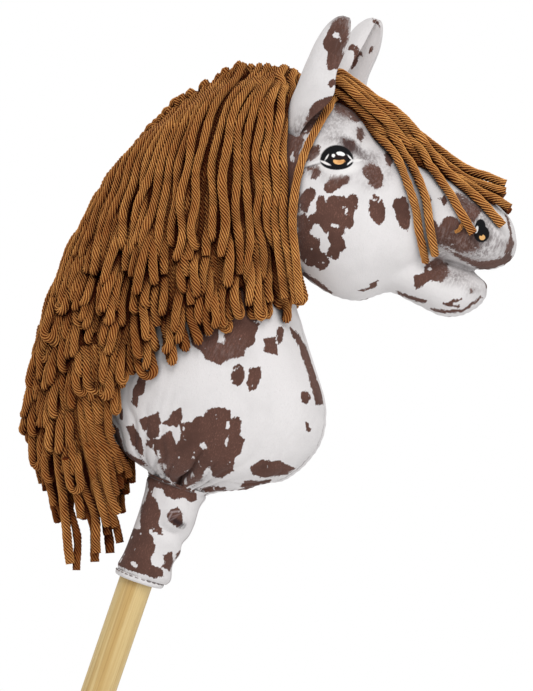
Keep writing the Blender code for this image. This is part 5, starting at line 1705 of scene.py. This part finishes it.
class HORSE_OT_forelock(Operator):
    """Lays the forelock down the nose and the single yarns over the face"""
    bl_idname = "hobby_horse.forelock"
    bl_label = "Forelock"

    NOSE_STEPS = 44

    def execute(self, context):
        radius = settings().yarn_thickness / 2
        carrier = joined_tree(stuffed_forms())
        chance = np.random.default_rng(5)
        cheek = [over_surface(FACE_YARNS[0], side, carrier, radius, hangs=True, stop=stop)
                 for side, stop in ((RIGHT, 1.0), (LEFT, 0.74))]
        face = []
        for number, route in enumerate(FACE_YARNS[1:]):
            face.append(over_surface(route, RIGHT, carrier, radius, phase=1.7 * number))
            face.append(over_surface(route, LEFT, carrier, radius, chance.uniform(-4, 1), stop=0.94,
                                     phase=2.3 * number))
        nose = [self.down_the_nose(place, route) for place, route in NOSE_YARNS]
        strands = [(path, np.full(len(path), chance.uniform(0.93, 1.06)), chance.uniform(0, 0.10))
                   for path in cheek + face + nose]
        strands = spread_apart(strands, radius * 1.8, 6)
        strands = off_the_skin(strands, carrier, radius * 0.97)
        # The third face yarn frays at its end
        branch = over_surface(FRAYED_END, RIGHT, carrier, radius * 0.6)
        frayed = (branch, np.linspace(0.62, 0.40, len(branch)), 0.1)
        first, after = len(cheek), len(cheek) + len(face)
        yarn_piece("cheek_yarns", strands[:first], ("cheek_strand_right", "cheek_strand_left"))
        yarn_piece("face_yarns", strands[first:after] + [frayed], (
            *(f"forelock_strand_right_{index}" for index in range(1, 5)),
            *(f"forelock_strand_left_{index}" for index in range(1, 3))))
        yarn_piece("nose_yarns", strands[after:], ("forelock_bundle",))
        return {'FINISHED'}

    def down_the_nose(self, place, route):
        """A yarn of the bundle, at a side place (mm) that it reaches a third of the way down."""
        path = []
        points = through([from_picture(across, up, 0) for across, up in route], self.NOSE_STEPS)
        for step, (x, _, z) in enumerate(points):
            share = step / (self.NOSE_STEPS - 1)
            y = place / 1000 * (0.55 + 0.45 * eased(share, 0.0, 0.35)) + 0.0014 * math.sin(share * 11 + place)
            path.append(Vector((x, y, z + 0.0012 * math.sin(share * 9 + 2 * place))))
        return path


class HORSE_OT_stick(Operator):
    """Gives the stick its grain and finishes the tack, the tape and the pad"""
    bl_idname = "hobby_horse.stick"
    bl_label = "Stick and small parts"

    def execute(self, context):
        finishes = {
            "stick": make_pine(),
            "sleeve_tack": make_plain("dull_steel", (0.50, 0.50, 0.51), 0.42, 900, 0.0001, metallic=1.0),
            "stick_end_pad": make_plain("grey_felt", (0.42, 0.40, 0.38), 1.0, 700, 0.0006),
            "mane_tape": bpy.data.materials["dark_thread"],
        }
        for name, material in finishes.items():
            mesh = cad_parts[name].data
            mesh.materials.clear()
            mesh.materials.append(material)
        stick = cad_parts["stick"]
        stick.data.shade_smooth()
        merge = stick.modifiers.new("merge", 'WELD')
        merge.merge_threshold = 0.00001
        sharp = stick.modifiers.new("ends", 'EDGE_SPLIT')
        sharp.split_angle = math.radians(35)
        return {'FINISHED'}


class HORSE_OT_stage(Operator):
    """Sets the pale floor, the studio lights and the camera"""
    bl_idname = "hobby_horse.stage"
    bl_label = "Stage"

    SENSOR = 24
    # Place, size and power
    LAMPS = {
        "key_light": ((0.2, -1.9, 2.3), 1.3, 27),
        "fill_light": ((1.9, -1.3, 1.1), 1.5, 11),
        "back_light": ((-1.4, 1.5, 1.8), 1.4, 14),
    }

    def execute(self, context):
        scene = context.scene
        self.floor()
        self.surroundings(scene)
        self.camera(scene)
        for name, (place, size, power) in self.LAMPS.items():
            self.lamp(name, Vector(place), size, power)
        scene.view_settings.view_transform = 'Standard'
        return {'FINISHED'}

    @staticmethod
    def floor():
        bpy.ops.mesh.primitive_plane_add(size=4, location=(0, 0, 0))
        floor = bpy.context.object
        floor.name = "studio_floor"
        material = bpy.data.materials.new("pale_floor")
        material.use_nodes = True
        shader = material.node_tree.nodes["Principled BSDF"]
        shader.inputs["Base Color"].default_value = (0.85, 0.85, 0.85, 1)
        shader.inputs["Roughness"].default_value = 0.9
        floor.data.materials.append(material)

    @staticmethod
    def surroundings(scene):
        """A white backdrop for the camera, and a softer light from all round."""
        world = bpy.data.worlds.new("studio")
        scene.world = world
        world.use_nodes = True
        tree = world.node_tree
        tree.nodes.clear()
        path = node(tree, 'ShaderNodeLightPath').outputs
        seen = maths(tree, 'MAXIMUM', path["Is Camera Ray"], path["Is Glossy Ray"])
        seen = maths(tree, 'MAXIMUM', seen, path["Is Transmission Ray"])
        soft = node(tree, 'ShaderNodeBackground', {"Color": (1, 1, 1, 1), "Strength": 0.55})
        white = node(tree, 'ShaderNodeBackground', {"Color": (1, 1, 1, 1), "Strength": 1.0})
        mixed = node(tree, 'ShaderNodeMixShader', {0: seen, 1: soft.outputs[0], 2: white.outputs[0]})
        node(tree, 'ShaderNodeOutputWorld', {0: mixed.outputs[0]})

    def camera(self, scene):
        """The camera of the photograph, leaning so that the stick leans in the picture."""
        screen_right = RIGHT_HAND * math.cos(ROLL) + UPWARD * math.sin(ROLL)
        screen_up = UPWARD * math.cos(ROLL) - RIGHT_HAND * math.sin(ROLL)
        data = bpy.data.cameras.new("studio_camera")
        data.sensor_fit = 'VERTICAL'
        data.sensor_height = self.SENSOR
        data.lens = self.SENSOR * CAMERA_DISTANCE / (PHOTO_SIZE[1] * PIXEL)
        camera = place_object("studio_camera", data)
        turn = Matrix((screen_right, screen_up, -AWAY)).transposed().to_4x4()
        camera.matrix_world = Matrix.Translation(AIM - AWAY * CAMERA_DISTANCE) @ turn
        scene.camera = camera

    @staticmethod
    def lamp(name, place, size, power):
        data = bpy.data.lights.new(name, 'AREA')
        data.shape = 'DISK'
        data.size = size
        data.energy = power
        turn = (AIM - place).to_track_quat('-Z', 'Y').to_matrix().to_4x4()
        place_object(name, data).matrix_world = Matrix.Translation(place) @ turn


class HORSE_PT_panel(Panel):
    bl_label = "Hobby Horse"
    bl_idname = "HORSE_PT_panel"
    bl_space_type = 'VIEW_3D'
    bl_region_type = 'UI'
    bl_category = "Hobby Horse"

    def draw(self, context):
        column = self.layout.column()
        for name in HobbyHorseSettings.__annotations__:
            column.prop(context.scene.hobby_horse, name)
        for operator in OPERATORS:
            column.operator(operator.bl_idname)


OPERATORS = (HORSE_OT_stage, HORSE_OT_plush_skin, HORSE_OT_ears, HORSE_OT_sleeve,
             HORSE_OT_mane, HORSE_OT_forelock, HORSE_OT_stick)


def register():
    bpy.utils.register_class(HobbyHorseSettings)
    for item in (*OPERATORS, HORSE_PT_panel):
        bpy.utils.register_class(item)
    bpy.types.Scene.hobby_horse = PointerProperty(type=HobbyHorseSettings)


def unregister():
    del bpy.types.Scene.hobby_horse
    for item in (HORSE_PT_panel, *reversed(OPERATORS)):
        bpy.utils.unregister_class(item)
    bpy.utils.unregister_class(HobbyHorseSettings)


def main():
    register()
    make_plush()
    make_yarn()
    make_plain("dark_thread", (0.16, 0.11, 0.10), 0.8, 1600, 0.0001)
    bpy.ops.hobby_horse.stage()
    bpy.ops.hobby_horse.plush_skin()
    bpy.ops.hobby_horse.ears()
    bpy.ops.hobby_horse.sleeve()
    bpy.ops.hobby_horse.mane()
    bpy.ops.hobby_horse.forelock()
    bpy.ops.hobby_horse.stick()


if __name__ == "__main__":
    main()
